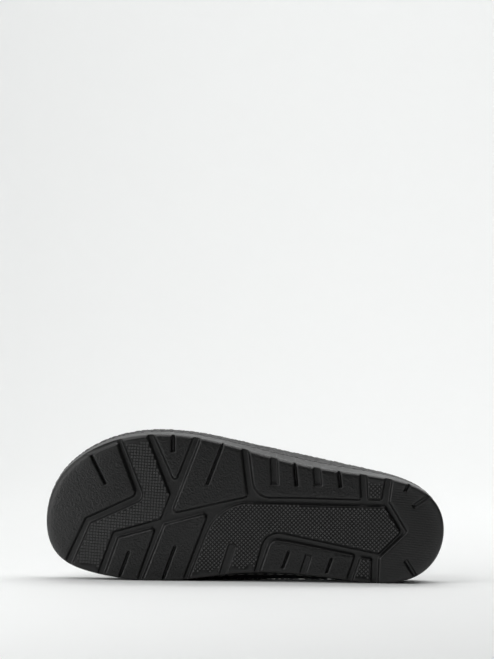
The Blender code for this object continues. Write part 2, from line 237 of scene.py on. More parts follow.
# Lights in metres: place, target, width, height, and the setting that holds the power.
LIGHT_COLUMNS = ("name", "place", "target", "width", "height", "power")
LIGHT_ROWS = (
    ("top light", (0.0, 0.55, 1.8), (0.0, 0.55, 0.0), 3.0, 2.0, "top_power"),
    ("right light", (0.8, 0.3, 1.6), (0.6, 0.2, 0.0), 1.6, 1.6, "right_power"),
    ("side panel", (-0.75, -0.1, 0.35), (0.0, -0.1, 0.35), 0.5, 0.7, "side_power"),
    ("front panel", (-0.75, -0.55, 0.35), (0.0, -0.55, 0.35), 0.4, 0.7, "front_power"),
    ("high panel", (-0.42, -0.5, 0.9), (0.0, 0.0, 0.05), 0.5, 0.4, "high_power"),
    ("back light", (0.0, 0.7, 2.0), (0.0, 2.0, 0.9), 3.0, 0.8, "back_power"),
)

# Sizes of the meshes in millimetres or in counts.
TREAD_POINTS = 720
TREAD_GRID = 2.4
LUG_STEP = 1.0
ARC_STEP = math.radians(12)
EDGE_TURNS = (90, 72, 54, 36, 18, 0)
SHARP_ANGLE = math.radians(50)
SIDE_SHARES = (0.1, 0.25, 0.5, 0.75, 1.0)
RIM_POINTS = 840
RIM_ROWS = 13
INSOLE_POINTS = 300
INSOLE_COLUMNS = 28
BAND_ACROSS = 132
BAND_ALONG = 44
BAND_CROWD = 0.8
EDGE_ARC = 6
STUD_SHARE = 0.93
STUD_DIAGONAL = 0.7071
STUD_GRID_SPAN = 1.5
STUD_GRID_DROP = 10.0
PANEL_BORDER = (0.3, 0.55)
PANEL_SUNK = 0.9
SLOT_MARGIN = 0.05
ROW_DRIFT = 0.06
ROW_OVERHANG = 1.2
MERGE_GAP = 1e-4
SEARCH_CHUNK = 2000
FOOT_SEARCH = 8
STITCH_STEP = 0.01
STITCH_LIFT = 0.1
STITCH_HIDDEN = 6
INSOLE_TURNS = (0, 25, 50, 75)
SWEEP_STEPS = 24

# Room that grid points keep to the outline's edge, a panel's border, a channel and a slot.
GRID_ROOM = {"edge": 0.8, "panel": 0.7, "channel": 2.2, "slot": 0.9}

# Where the finish of a lug's top starts past its edge and past a slot, and how far it eases in.
TOP_START = 0.1
TOP_EASE = {"lug": 0.6, "slot": 0.5}

# Weights of the grain's cells, waves and specks, and how much finer the specks are.
GRAIN_WEIGHTS = {"cells": 0.7, "waves": 0.6, "specks": 0.4}
SPECK_FINENESS = 2.3

# Rubber: grain left off the pads, height of the heel's lines, and amount of handling marks.
FLOOR_GRAIN = 0.25
HEEL_LINE = 0.11
RUBBER_MARKS = 0.25

# Handling marks: weight of the dust in the tone, and share of the tone's swing that roughens.
DUST_SHARE = 0.6
DUST_ROUGHNESS = 0.5

# Thread: direction, pitch and depth of its twist in metres, roughness and handling marks.
TWIST_DIRECTION = (0.8, 0.3, 0.52)
TWIST_PITCH = 0.0005
TWIST_DEPTH = 0.0001
THREAD_ROUGHNESS = 0.75
THREAD_MARKS = 0.3

# Roughness of the lining, and roughness and handling marks of the paper.
LINING_ROUGHNESS = 0.85
PAPER_ROUGHNESS = 0.9
PAPER_MARKS = 0.01

# Painted highlight: how far in from the outline the lug tops are painted lighter, and how much.
EDGE_HIGHLIGHT = (4.5, 0.2)
PAINTED_HIGHLIGHTS = {"toe pad": (11.0, 0.3), "heel pad": (13.0, 0.35)}

# Camera film height in millimetres, and the nearest and farthest it sees in metres.
FILM_HEIGHT = 36.0
SIGHT = (0.05, 30.0)


def read_rows(kind, columns, rows):
    """Return the rows of a table with their columns as names."""
    row_kind = namedtuple(kind, columns)
    return [row_kind(*row) for row in rows]


LUGS = read_rows("Lug", LUG_COLUMNS, LUG_ROWS)
SLOTS = read_rows("Slot", SLOT_COLUMNS, SLOT_ROWS)
CREASES = read_rows("Crease", CREASE_COLUMNS, CREASE_ROWS)
BASES = {row.side: row for row in read_rows("Base", BASE_COLUMNS, BASE_ROWS)}
FINISHES = {row.name: row for row in read_rows("Finish", FINISH_COLUMNS, FINISH_ROWS)}
STUDS = read_rows("Stud", STUD_COLUMNS, STUD_ROWS)
LIPS = read_rows("Lip", LIP_COLUMNS, LIP_ROWS)
LIGHTS = read_rows("Light", LIGHT_COLUMNS, LIGHT_ROWS)

# Finishes whose tops are sunk inside a border and carry studs.
STUDDED = [stud.finish for stud in STUDS]


def column(columns, rows, name):
    """Return one named column of a table."""
    place = columns.index(name)
    return np.array([row[place] for row in rows], dtype=float)


def natural_spline(knots, values, at):
    """Interpolate a table smoothly along a line."""
    count = len(knots)
    gaps = np.diff(knots)
    slopes = np.diff(values) / gaps
    system = np.eye(count)
    target = np.zeros(count)
    for i in range(1, count - 1):
        system[i, i - 1:i + 2] = gaps[i - 1], 2 * (gaps[i - 1] + gaps[i]), gaps[i]
        target[i] = 6 * (slopes[i] - slopes[i - 1])
    bend = np.linalg.solve(system, target)
    at = np.clip(at, knots[0], knots[-1])
    cell = np.clip(np.searchsorted(knots, at, side="right") - 1, 0, count - 2)
    width = gaps[cell]
    low = (knots[cell + 1] - at) / width
    high = (at - knots[cell]) / width
    curve = (low ** 3 - low) * bend[cell] + (high ** 3 - high) * bend[cell + 1]
    return low * values[cell] + high * values[cell + 1] + curve * width ** 2 / 6


def round_spline(outer, inner, at):
    """Interpolate outer and inner columns smoothly round the closed outline."""
    loop = np.concatenate([outer, inner[-2:0:-1]])
    count = len(loop)
    step = 2 * math.pi / count
    laps = np.concatenate([loop, loop, loop, loop[:1]])
    knots = (np.arange(len(laps)) - count) * step
    return natural_spline(knots, laps, np.mod(at, 2 * math.pi))


def outline_column(name, at):
    """Interpolate a pair of outline columns at angles round the sole."""
    outer = column(OUTLINE_COLUMNS, OUTLINE_ROWS, "outer" + name)
    inner = column(OUTLINE_COLUMNS, OUTLINE_ROWS, "inner" + name)
    return round_spline(outer, inner, at)


def profile(name, along):
    """Interpolate a profile column at distances from the heel end."""
    shares = column(PROFILE_COLUMNS, PROFILE_ROWS, "share")
    return natural_spline(shares, column(PROFILE_COLUMNS, PROFILE_ROWS, name), np.asarray(along) / LENGTH)


def spring(along):
    """Return the height of the tread, flat to the ball, rising to the toe and a little to the heel."""
    share = np.asarray(along) / LENGTH
    rise = np.clip((share - SPRING_START) / (1 - SPRING_START), 0, None)
    roll = np.clip(1 - share / HEEL_ROLL_END, 0, None)
    return TOE_SPRING * rise ** 2 + HEEL_ROLL * roll ** 2


def tread(at):
    """Return the tread outline and its outward directions."""
    fine = 1e-4
    along = LENGTH / 2 * (1 - np.cos(at))
    across = outline_column("", at)
    run = LENGTH / 2 * np.sin(at)
    climb = (outline_column("", at + fine) - outline_column("", at - fine)) / (2 * fine)
    size = np.hypot(run, climb)
    return np.column_stack([along, across]), np.column_stack([-climb, run]) / size[:, None]


def flare(at, share):
    """Return how far the side wall leans out at a share of its height, hollow on the inner side."""
    bend = 1 + ARCH_HOLLOW * np.clip(-np.sin(at), 0, None)
    return outline_column("_flare", at) * np.clip(share, 0, None) ** bend


def wall(at, height, inset):
    """Return points of the side wall, where height is a function of the distance from the heel."""
    points, outward = tread(at)
    along = points[:, 0]
    share = (height(along) - spring(along)) / (profile("rim", along) - spring(along))
    flat = points + outward * (flare(at, share) - inset)[:, None]
    return np.column_stack([flat, height(flat[:, 0])])


def level(name, shift=0.0):
    """Return a height function from a profile column and a shift."""
    return lambda along: profile(name, along) + shift


def between(share, low_shift, high_shift):
    """Return a height function at a share of the way from the seam to the rim."""

    def height(along):
        low = profile("joint", along) + low_shift
        high = profile("rim", along) + high_shift
        return low + (high - low) * share

    return height


def round_angles(count):
    """Return angles evenly round the outline."""
    return 2 * math.pi * np.arange(count) / count


def angle_at(share):
    """Return the outline angle at a share of the length."""
    return math.acos(1 - 2 * share)


def base_span(side):
    """Return the outline angles of the band's back and front edge on one side."""
    span = [angle_at(BASES[side].back), angle_at(BASES[side].front)]
    return span if side == "outer" else [2 * math.pi - a for a in span]


def smooth_step(value):
    """Ease from 0 to 1."""
    value = np.clip(value, 0, 1)
    return value * value * (3 - 2 * value)


def shoe_matrix():
    """Work out where the shoe lies, from millimetres along its own axes, by the mount at its heel."""
    mount = frame["record"]["mounts"][0]
    up = -Vector(mount["axis"])
    toe = up.cross(Vector((0, 1, 0))).normalized()
    outer = up.cross(toe)
    heel = Vector(mount["pos_m"]) - toe * MOUNT_FROM_HEEL * MM
    turn = Matrix((toe, outer, up)).transposed()
    return Matrix.Translation(heel) @ Matrix.Scale(MM, 4) @ turn.to_4x4()


SHOE = shoe_matrix()


def in_mm(value):
    """Return a size given in metres as millimetres."""
    return value / MM


def floor_height(points):
    """Return how far shoe points lie over the floor, in millimetres."""
    turn = np.array(SHOE)
    return (points @ turn[2, :3] + turn[2, 3]) / MM


# Node helpers.


def add_node(tree, kind, inputs=None, **options):
    """Add a node, set its options, and set or link its inputs by name or place."""
    item = tree.nodes.new(kind)
    for key, value in options.items():
        setattr(item, key, value)
    for key, value in (inputs or {}).items():
        if isinstance(value, bpy.types.NodeSocket):
            tree.links.new(value, item.inputs[key])
        else:
            item.inputs[key].default_value = value
    return item


def math_node(tree, operation, first, second=0.0):
    """Add a math node and return its result."""
    return add_node(tree, "ShaderNodeMath", {0: first, 1: second}, operation=operation).outputs[0]


def mix_value(tree, share, low, high):
    """Blend two values by a share and return the result."""
    item = add_node(tree, "ShaderNodeMix", {0: share, 2: low, 3: high}, data_type="FLOAT")
    return item.outputs[0]


def new_group(name, kind, inputs, outputs):
    """Start a node group with named sockets and return it with its input and output nodes."""
    tree = bpy.data.node_groups.new(name, kind)
    for label, socket, default in inputs:
        made = tree.interface.new_socket(label, in_out="INPUT", socket_type=socket)
        if default is not None:
            made.default_value = default
    for label, socket in outputs:
        tree.interface.new_socket(label, in_out="OUTPUT", socket_type=socket)
    return tree, add_node(tree, "NodeGroupInput"), add_node(tree, "NodeGroupOutput")


def moulded_grain_group():
    """Make the fine pebbled grain that leather and moulded rubber share."""
    inputs = (("Vector", "NodeSocketVector", None), ("Size", "NodeSocketFloat", 0.0015))
    outputs = (("Height", "NodeSocketFloat"), ("Tone", "NodeSocketFloat"))
    tree, start, end = new_group("moulded grain", "ShaderNodeTree", inputs, outputs)
    scale = math_node(tree, "DIVIDE", 1.0, start.outputs["Size"])
    place = start.outputs["Vector"]
    bend = add_node(tree, "ShaderNodeTexNoise", {"Vector": place, "Scale": scale, "Detail": 2.0})
    cells = add_node(tree, "ShaderNodeTexVoronoi", {"Vector": place, "Scale": scale}, feature="SMOOTH_F1")
    fine_scale = math_node(tree, "MULTIPLY", scale, SPECK_FINENESS)
    fine = add_node(tree, "ShaderNodeTexNoise", {"Vector": place, "Scale": fine_scale, "Detail": 3.0})
    body = math_node(tree, "MULTIPLY", cells.outputs["Distance"], GRAIN_WEIGHTS["cells"])
    waves = math_node(tree, "MULTIPLY", bend.outputs["Fac"], GRAIN_WEIGHTS["waves"])
    specks = math_node(tree, "MULTIPLY", fine.outputs["Fac"], GRAIN_WEIGHTS["specks"])
    height = math_node(tree, "ADD", math_node(tree, "ADD", body, waves), specks)
    tree.links.new(height, end.inputs["Height"])
    tone = add_node(tree, "ShaderNodeMapRange", {"Value": height, "From Min": 0.5, "From Max": 1.2,
                                                 "To Min": 0.86, "To Max": 1.14})
    tree.links.new(tone.outputs["Result"], end.inputs["Tone"])
    return tree


def handling_group():
    """Make the faint cloudy tone and dust that handling leaves on every surface."""
    inputs = (("Vector", "NodeSocketVector", None), ("Amount", "NodeSocketFloat", 0.15),
              ("Roughness", "NodeSocketFloat", 0.5))
    outputs = (("Tone", "NodeSocketFloat"), ("Roughness", "NodeSocketFloat"))
    tree, start, end = new_group("handling", "ShaderNodeTree", inputs, outputs)
    place = start.outputs["Vector"]
    cloud = add_node(tree, "ShaderNodeTexNoise", {"Vector": place, "Scale": 45.0, "Detail": 4.0})
    specks = add_node(tree, "ShaderNodeTexNoise", {"Vector": place, "Scale": 900.0, "Detail": 2.0})
    dust = add_node(tree, "ShaderNodeMapRange", {"Value": specks.outputs["Fac"], "From Min": 0.62,
                                                 "From Max": 0.75, "To Min": 0.0, "To Max": 1.0})
    shift = math_node(tree, "SUBTRACT", cloud.outputs["Fac"], 0.5)
    settled = math_node(tree, "MULTIPLY", dust.outputs["Result"], DUST_SHARE)
    spread = math_node(tree, "ADD", shift, settled)
    swing = math_node(tree, "MULTIPLY", spread, start.outputs["Amount"])
    tree.links.new(math_node(tree, "ADD", swing, 1.0), end.inputs["Tone"])
    dull = math_node(tree, "MULTIPLY", swing, DUST_ROUGHNESS)
    rough = math_node(tree, "ADD", start.outputs["Roughness"], dull)
    tree.links.new(rough, end.inputs["Roughness"])
    return tree


def fine_lines_group():
    """Make fine even ridges across a direction."""
    inputs = (("Vector", "NodeSocketVector", None), ("Direction", "NodeSocketVector", (0, 0, 1)),
              ("Pitch", "NodeSocketFloat", 0.0014))
    tree, start, end = new_group("fine lines", "ShaderNodeTree", inputs, (("Height", "NodeSocketFloat"),))
    reach = add_node(tree, "ShaderNodeVectorMath",
                     {0: start.outputs["Vector"], 1: start.outputs["Direction"]}, operation="DOT_PRODUCT")
    laps = math_node(tree, "DIVIDE", reach.outputs["Value"], start.outputs["Pitch"])
    wave = math_node(tree, "SINE", math_node(tree, "MULTIPLY", laps, 2 * math.pi))
    half = math_node(tree, "MULTIPLY", wave, 0.5)
    tree.links.new(math_node(tree, "ADD", half, 0.5), end.inputs["Height"])
    return tree


GROUP_MAKERS = {
    "moulded grain": moulded_grain_group,
    "handling": handling_group,
    "fine lines": fine_lines_group,
}


def place_group(tree, name, inputs):
    """Place a shared node group in a material, making it once."""
    group = bpy.data.node_groups.get(name) or GROUP_MAKERS[name]()
    return add_node(tree, "ShaderNodeGroup", inputs, node_tree=group)


def start_material(name, constants):
    """Start a material and return it with its tree, shader and object coordinates."""
    paint = bpy.data.materials.new(name)
    paint.use_nodes = True
    tree = paint.node_tree
    shader = tree.nodes["Principled BSDF"]
    for key, value in constants.items():
        shader.inputs[key].default_value = value
    place = add_node(tree, "ShaderNodeTexCoord").outputs["Object"]
    return paint, tree, shader, place


def tint(tree, shader, colour, tones):
    """Feed the base colour with a colour dimmed or lifted by tones."""
    tone = tones[0]
    for more in tones[1:]:
        tone = math_node(tree, "MULTIPLY", tone, more)
    scaled = add_node(tree, "ShaderNodeVectorMath", {0: colour[:3], "Scale": tone}, operation="SCALE")
    tree.links.new(scaled.outputs["Vector"], shader.inputs["Base Color"])


def raise_bump(tree, shader, height, distance):
    """Feed the shader's normal with a bump."""
    bump = add_node(tree, "ShaderNodeBump", {"Height": height, "Distance": distance, "Strength": 1.0})
    tree.links.new(bump.outputs["Normal"], shader.inputs["Normal"])


def add_marks(tree, shader, place, amount, roughness):
    """Add handling marks, let them vary the roughness and return their tone."""
    marks = place_group(tree, "handling", {"Vector": place, "Amount": amount, "Roughness": roughness})
    tree.links.new(marks.outputs["Roughness"], shader.inputs["Roughness"])
    return marks.outputs["Tone"]


def grained_material(name, colour, roughness):
    """Make a grained material with handling marks from the table of finishes."""
    finish = FINISHES[name]
    constants = {"Specular IOR Level": finish.gloss, "Sheen Weight": finish.sheen}
    paint, tree, shader, place = start_material(name, constants)
    grain = place_group(tree, "moulded grain", {"Vector": place, "Size": finish.size})
    tone = add_marks(tree, shader, place, finish.marks, roughness)
    tint(tree, shader, colour, [grain.outputs["Tone"], tone])
    raise_bump(tree, shader, grain.outputs["Height"], finish.depth)
    return paint


def rubber_material(sizes):
    """Make the moulded rubber: grain on the pads, fine lines on the heel, and a painted highlight on the
    stud tops and on the lug tops near the outline.
    """
    paint, tree, shader, place = start_material("moulded rubber", {"Specular IOR Level": 0.4})
    grain = place_group(tree, "moulded grain", {"Vector": place, "Size": sizes.grain_size})
    across = SHOE.to_3x3() @ Vector((0, 1, 0))
    lines = place_group(tree, "fine lines", {"Vector": place, "Direction": across.normalized(),
                                             "Pitch": sizes.line_pitch})
    marks = add_marks(tree, shader, place, RUBBER_MARKS, sizes.roughness)
    pads, heel, worn = (add_node(tree, "ShaderNodeAttribute", attribute_name=name).outputs["Fac"]
                        for name in ("grain", "lines", "worn"))
    low = math_node(tree, "MULTIPLY", grain.outputs["Height"], FLOOR_GRAIN)
    height = mix_value(tree, pads, low, grain.outputs["Height"])
    lined = math_node(tree, "MULTIPLY", lines.outputs["Height"], heel)
    height = math_node(tree, "ADD", height, math_node(tree, "MULTIPLY", lined, HEEL_LINE))
    tone = mix_value(tree, pads, 1.0, grain.outputs["Tone"])
    # Painted highlight: stud tops and lug tops near the outline are painted lighter.
    wear = mix_value(tree, worn, 1.0, sizes.stud_highlight)
    tint(tree, shader, sizes.colour, [tone, marks, wear])
    raise_bump(tree, shader, height, sizes.grain_depth)
    return paint


def thread_material(name, colour):
    """Make a spun thread with fine twist lines."""
    paint, tree, shader, place = start_material(name, {"Sheen Weight": 0.2})
    twist = place_group(tree, "fine lines", {"Vector": place, "Direction": TWIST_DIRECTION,
                                             "Pitch": TWIST_PITCH})
    tint(tree, shader, colour, [add_marks(tree, shader, place, THREAD_MARKS, THREAD_ROUGHNESS)])
    raise_bump(tree, shader, twist.outputs["Height"], TWIST_DEPTH)
    return paint


# Mesh helpers.


def add_piece(name, points, faces, paints, node=None):
    """Make a piece from shoe points, close its normals outward and hang it on the body."""
    mesh = bpy.data.meshes.new(name)
    mesh.from_pydata([tuple(p) for p in points], [], faces)
    mesh.transform(SHOE)
    work = bmesh.new()
    work.from_mesh(mesh)
    bmesh.ops.recalc_face_normals(work, faces=work.faces)
    work.to_mesh(mesh)
    work.free()
    return place_piece(name, mesh, paints, node)


def place_piece(name, mesh, paints, node=None):
    """Show a finished mesh as a piece that rides on the body."""
    for paint in paints:
        if paint.name not in mesh.materials:
            mesh.materials.append(paint)
    mesh.shade_smooth()
    item = bpy.data.objects.new(name, mesh)
    bpy.context.scene.collection.objects.link(item)
    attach(item, BODY)
    if node:
        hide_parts(node)
    return item


def ring_faces(rings, count, start=0):
    """Return the faces between closed rings of points that follow each other."""
    faces = []
    for k in range(rings - 1):
        for i in range(count):
            j = (i + 1) % count
            low, high = start + k * count, start + (k + 1) * count
            faces.append([low + i, high + i, high + j, low + j])
    return faces


def ladder(ring, start, columns, shape, points, faces):
    """Close a ring with rows of faces between its outer and inner side."""
    half = len(ring) // 2
    rows = [[start]]
    for i in range(1, half):
        row = [start + i]
        outer = ring[i]
        inner = ring[len(ring) - i]
        for j in range(1, columns):
            share = j / columns
            row.append(len(points))
            points.append(shape(outer + (inner - outer) * share, share))
        row.append(start + len(ring) - i)
        rows.append(row)
    rows.append([start + half])
    for low, high in zip(rows, rows[1:]):
        for j in range(columns):
            corners = [low[min(j, len(low) - 1)], low[min(j + 1, len(low) - 1)]]
            corners += [high[min(j + 1, len(high) - 1)], high[min(j, len(high) - 1)]]
            faces.append(list(dict.fromkeys(corners)))


def loft(rings, columns=1, shape=None):
    """Join rings from low to high and close both ends."""
    points = [p for ring in rings for p in ring]
    count = len(rings[0])
    faces = ring_faces(len(rings), count)
    ladder(rings[0], 0, 1, None, points, faces)
    ladder(rings[-1], (len(rings) - 1) * count, columns, shape, points, faces)
    return points, faces


# The tread.


def rounded_loop(corners, step):
    """Return a closed outline with rounded corners, its points at most a step apart."""
    flat = np.array([c[:2] for c in corners], dtype=float)
    loop = []
    for i, here in enumerate(flat):
        radius = corners[i][2]
        back = flat[i - 1] - here
        ahead = flat[(i + 1) % len(flat)] - here
        back /= np.linalg.norm(back)
        ahead /= np.linalg.norm(ahead)
        half = math.acos(np.clip(back @ ahead, -1, 1)) / 2
        reach = radius / math.tan(half)
        middle = here + (back + ahead) / np.linalg.norm(back + ahead) * radius / math.sin(half)
        first = here + back * reach - middle
        last = here + ahead * reach - middle
        turn = math.pi - 2 * half
        count = max(2, math.ceil(turn / ARC_STEP))
        for k in range(count + 1):
            share = k / count
            low, high = math.sin((1 - share) * turn), math.sin(share * turn)
            loop.append(middle + (first * low + last * high) / math.sin(turn))
    if step:
        fine = []
        for a, b in zip(loop, loop[1:] + loop[:1]):
            parts = max(1, math.ceil(np.linalg.norm(b - a) / step))
            fine += [a + (b - a) * k / parts for k in range(parts)]
        loop = fine
    return np.array(loop)


def slot_corners(slot):
    """Return the four corners of a slot round its centre line."""
    start, end = np.array(slot.start, dtype=float), np.array(slot.end, dtype=float)
    run = (end - start) / np.linalg.norm(end - start)
    side = np.array([-run[1], run[0]]) * slot.width / 2
    radius = min(slot.corner, SLOT_ROUND * slot.width)
    spots = (start + side, end + side, end - side, start - side)
    return [(spot[0], spot[1], radius) for spot in spots]


def signed_distance(points, loop):
    """Return distances from a closed outline, positive inside it."""
    best = np.full(len(points), np.inf)
    inside = np.zeros(len(points), dtype=bool)
    for a, b in zip(loop, np.roll(loop, -1, axis=0)):
        leg = b - a
        share = np.clip(((points - a) @ leg) / max(leg @ leg, 1e-12), 0, 1)
        gap = points - a - share[:, None] * leg
        best = np.minimum(best, gap[:, 0] ** 2 + gap[:, 1] ** 2)
        if a[1] != b[1]:
            spans = (a[1] > points[:, 1]) != (b[1] > points[:, 1])
            inside ^= spans & (points[:, 0] < a[0] + (points[:, 1] - a[1]) * leg[0] / leg[1])
    return np.where(inside, 1.0, -1.0) * np.sqrt(best)


def edge_share(rows, across):
    """Return the share of the depth reached at distances past a top edge."""
    return np.interp(across, *(column(EDGE_COLUMNS, rows, name) for name in EDGE_COLUMNS))


class Tread:
    """The lugs and slots of the tread and how deep the surface lies at a point."""

    def __init__(self, groove_depth, panel_sink):
        self.groove_depth = groove_depth
        self.panel_sink = panel_sink
        self.at = round_angles(TREAD_POINTS)
        self.outline, self.outward = tread(self.at)
        self.edge = outline_column("_edge", self.at)
        self.lugs = [rounded_loop(lug.corners, None) for lug in LUGS]
        self.slots = [rounded_loop(slot_corners(slot), None) for slot in SLOTS]
        self.finish = np.array([lug.finish for lug in LUGS])

    def nearest(self, points):
        """Return the place on the outline that is nearest to each point."""
        best = np.empty(len(points), dtype=int)
        for first in range(0, len(points), SEARCH_CHUNK):
            part = slice(first, first + SEARCH_CHUNK)
            gaps = ((points[part, None, :] - self.outline[None]) ** 2).sum(axis=2)
            best[part] = gaps.argmin(axis=1)
        return best

    def measure(self, points):
        """Return the inset from the outline, the lug and depth into it, and the depth into slots."""
        inset = signed_distance(points, self.outline)
        gaps = np.array([signed_distance(points, loop) for loop in self.lugs])
        cuts = np.array([signed_distance(points, loop) for loop in self.slots])
        return inset, gaps.argmax(axis=0), gaps.max(axis=0), cuts

    def depth(self, points, facts):
        """Return depths above the tread plane, where panels are sunk, and places on the outline."""
        inset, lug, into, cuts = facts
        place = self.nearest(points)
        edge = self.edge[place]
        short = np.clip(edge - inset, 0, edge)
        depth = edge - np.sqrt(np.clip(edge ** 2 - short ** 2, 0, None))
        depth = np.maximum(depth, self.groove_depth * edge_share(LUG_EDGE_ROWS, -into))
        for slot, cut in zip(SLOTS, cuts):
            depth = np.maximum(depth, slot.depth * edge_share(SLOT_EDGE_ROWS, cut))
        low, high = PANEL_BORDER
        sunk = np.isin(self.finish, STUDDED)[lug].astype(float)
        for room in (into, -cuts.max(axis=0), inset - edge):
            sunk *= smooth_step((room - low) / (high - low))
        return depth + self.panel_sink * sunk, sunk, place

    def rows(self):
        """Yield rows of points that follow the outline, the lug walls and the slot walls."""
        for turn in EDGE_TURNS:
            inset = self.edge * (1 - math.sin(math.radians(turn)))
            yield self.outline - self.outward * inset[:, None], True
        low, high = PANEL_BORDER
        for lug in LUGS:
            offsets = [a for a, share in LUG_EDGE_ROWS]
            if lug.finish in STUDDED:
                offsets = [-high, -low] + offsets
            yield from self.wall_rows(lug.corners, offsets, self.lugs)
        for slot, loop in zip(SLOTS, self.slots):
            offsets = [-a for a, share in SLOT_EDGE_ROWS if a < slot.width / 2 - SLOT_MARGIN]
            yield from self.wall_rows(slot_corners(slot), offsets, [loop])

    def wall_rows(self, corners, offsets, own):
        """Yield the stretches of rows round one closed outline that keep their offset from its own kind."""
        loop = rounded_loop(corners, LUG_STEP)
        run = np.roll(loop, -1, axis=0) - np.roll(loop, 1, axis=0)
        run /= np.linalg.norm(run, axis=1)[:, None]
        normal = np.column_stack([run[:, 1], -run[:, 0]])
        area = np.sum(loop[:, 0] * np.roll(loop[:, 1], -1) - loop[:, 1] * np.roll(loop[:, 0], -1))
        normal *= math.copysign(1, area)
        for offset in offsets:
            row = loop + normal * offset
            away = -np.max([signed_distance(row, item) for item in own], axis=0)
            kept = np.abs(away - offset) < ROW_DRIFT
            kept &= signed_distance(row, self.outline) > -ROW_OVERHANG
            yield from stretches(row, kept)

    def grid(self):
        """Return grid points on the open tops and floors."""
        low, high = self.outline.min(axis=0), self.outline.max(axis=0)
        u, v = np.meshgrid(np.arange(low[0], high[0], TREAD_GRID), np.arange(low[1], high[1], TREAD_GRID))
        points = np.column_stack([u.ravel(), v.ravel()])
        inset, _, into, cuts = self.measure(points)
        free = inset > self.edge[self.nearest(points)] + GRID_ROOM["edge"]
        free &= (into > PANEL_BORDER[1] + GRID_ROOM["panel"]) | (into < -GRID_ROOM["channel"])
        free &= cuts.max(axis=0) < -GRID_ROOM["slot"]
        return points[free]


def stretches(row, kept):
    """Yield the runs of kept points of a closed row."""
    if kept.all():
        yield row, True
        return
    start = int(np.argmin(kept))
    row, kept = np.roll(row, -start, axis=0), np.roll(kept, -start)
    run = []
    for point, good in zip(row, kept):
        if good:
            run.append(point)
            continue
        if len(run) > 1:
            yield np.array(run), False
        run = []
    if len(run) > 1:
        yield np.array(run), False


def triangulate(shape):
    """Return flat points and triangles of the tread, with every row kept as edges."""
    points, edges = [], []
    for row, closed in shape.rows():
        first = len(points)
        points += [Vector(p) for p in row]
        last = first + len(row) - 1
        edges += [(i, i + 1) for i in range(first, last)]
        if closed:
            edges.append((last, first))
    points += [Vector(p) for p in shape.grid()]
    made = geometry.delaunay_2d_cdt(points, edges, [], 0, MERGE_GAP)
    flat = np.array([tuple(p) for p in made[0]])
    faces = np.array([f for f in made[2] if len(f) == 3])
    centres = flat[faces].mean(axis=1)
    return flat, faces[signed_distance(centres, shape.outline) > 0]


def boundary(faces):
    """Return the points round the open edge of a patch, in order."""
    legs = {(f[k], f[(k + 1) % 3]) for f in faces.tolist() for k in range(3)}
    ahead = {a: b for a, b in legs if (b, a) not in legs}
    start = min(ahead)
    loop = [start]
    while ahead[loop[-1]] != start:
        loop.append(ahead[loop[-1]])
    return loop


def make_outsole(sizes):
    """Build the outsole: the tread with its lugs, the side wall up to the seam and the top."""
    shape = Tread(in_mm(sizes.groove_depth), in_mm(sizes.stud_height))
    seam = in_mm(sizes.seam_depth)
    flat, faces = triangulate(shape)
    used = np.unique(faces)
    renumber = np.full(len(flat), -1)
    renumber[used] = np.arange(len(used))
    flat, faces = flat[used], renumber[faces]
    facts = shape.measure(flat)
    depth, sunk, place = shape.depth(flat, facts)
    inset = facts[0]
    height = spring(flat[:, 0]) + depth
    share = depth / (profile("rim", flat[:, 0]) - spring(flat[:, 0]))
    reach = np.clip(1 - inset / (shape.edge[place] + FLARE_REACH), 0, 1)
    lean = flare(shape.at[place], share) * reach
    spots = flat + shape.outward[place] * lean[:, None]
    points = [np.array((u, v, w)) for (u, v), w in zip(spots, height)]
    loop = boundary(faces)
    dense = round_angles(FOOT_SEARCH * TREAD_POINTS)
    fine = tread(dense)[0]
    at = np.array([dense[((fine - flat[i]) ** 2).sum(axis=1).argmin()] for i in loop])
    foot = height[loop]

    def side(portion):
        return lambda along: foot + (profile("joint", along) - seam - foot) * portion

    rings = [wall(at, side(portion), 0.0) for portion in SIDE_SHARES]
    rings += [wall(at, level("joint", -ROUNDING * seam), ROUNDING * seam), wall(at, level("joint"), seam)]
    polygons = faces.tolist()
    below = list(loop)
    for ring in rings:
        here = list(range(len(points), len(points) + len(ring)))
        points += list(ring)
        for i in range(len(here)):
            j = (i + 1) % len(here)
            polygons.append([below[i], below[j], here[j], here[i]])
        below = here
    polygons.append(below)
    item = add_piece("outsole_rubber", points, polygons, [rubber_material(sizes)], "outsole")
    item.data.set_sharp_from_angle(angle=SHARP_ANGLE)
    paint_tread(item.data, shape, facts, sunk)


def paint_tread(mesh, shape, facts, sunk):
    """Store where the tread is grained and lined, where its lug tops near the outline are painted lighter
    as a highlight, and which faces carry studs.
    """
    inset, lug, into, cuts = facts
    count = len(inset)
    finish = shape.finish[lug]
    top = smooth_step((into - TOP_START) / TOP_EASE["lug"])
    top *= smooth_step((-cuts.max(axis=0) - TOP_START) / TOP_EASE["slot"])
    # Painted highlight: lug tops are painted lighter towards the outline, most on the toe and heel pads.
    reach, amount = np.array([PAINTED_HIGHLIGHTS.get(item.name, EDGE_HIGHLIGHT) for item in LUGS])[lug].T
    edge_highlight = amount * top * np.clip(1 - inset / reach, 0, None) ** 2
    values = {"grain": top * (finish == "grain"), "lines": top * (finish == "lines"), "worn": edge_highlight}
    for name, part in values.items():
        whole = np.zeros(len(mesh.vertices), dtype=np.float32)
        whole[:count] = part
        mesh.attributes.new(name, "FLOAT", "POINT").data.foreach_set("value", whole)
    kinds = np.zeros(len(mesh.vertices), dtype=int)
    for number, name in enumerate(STUDDED, start=1):
        kinds[:count][(finish == name) & (sunk > PANEL_SUNK)] = number
    panels = mesh.attributes.new("panel", "INT", "FACE")
    for face in mesh.polygons:
        found = {int(kinds[i]) for i in face.vertices}
        panels.data[face.index].value = found.pop() if len(found) == 1 else 0


# Geometry node trees.


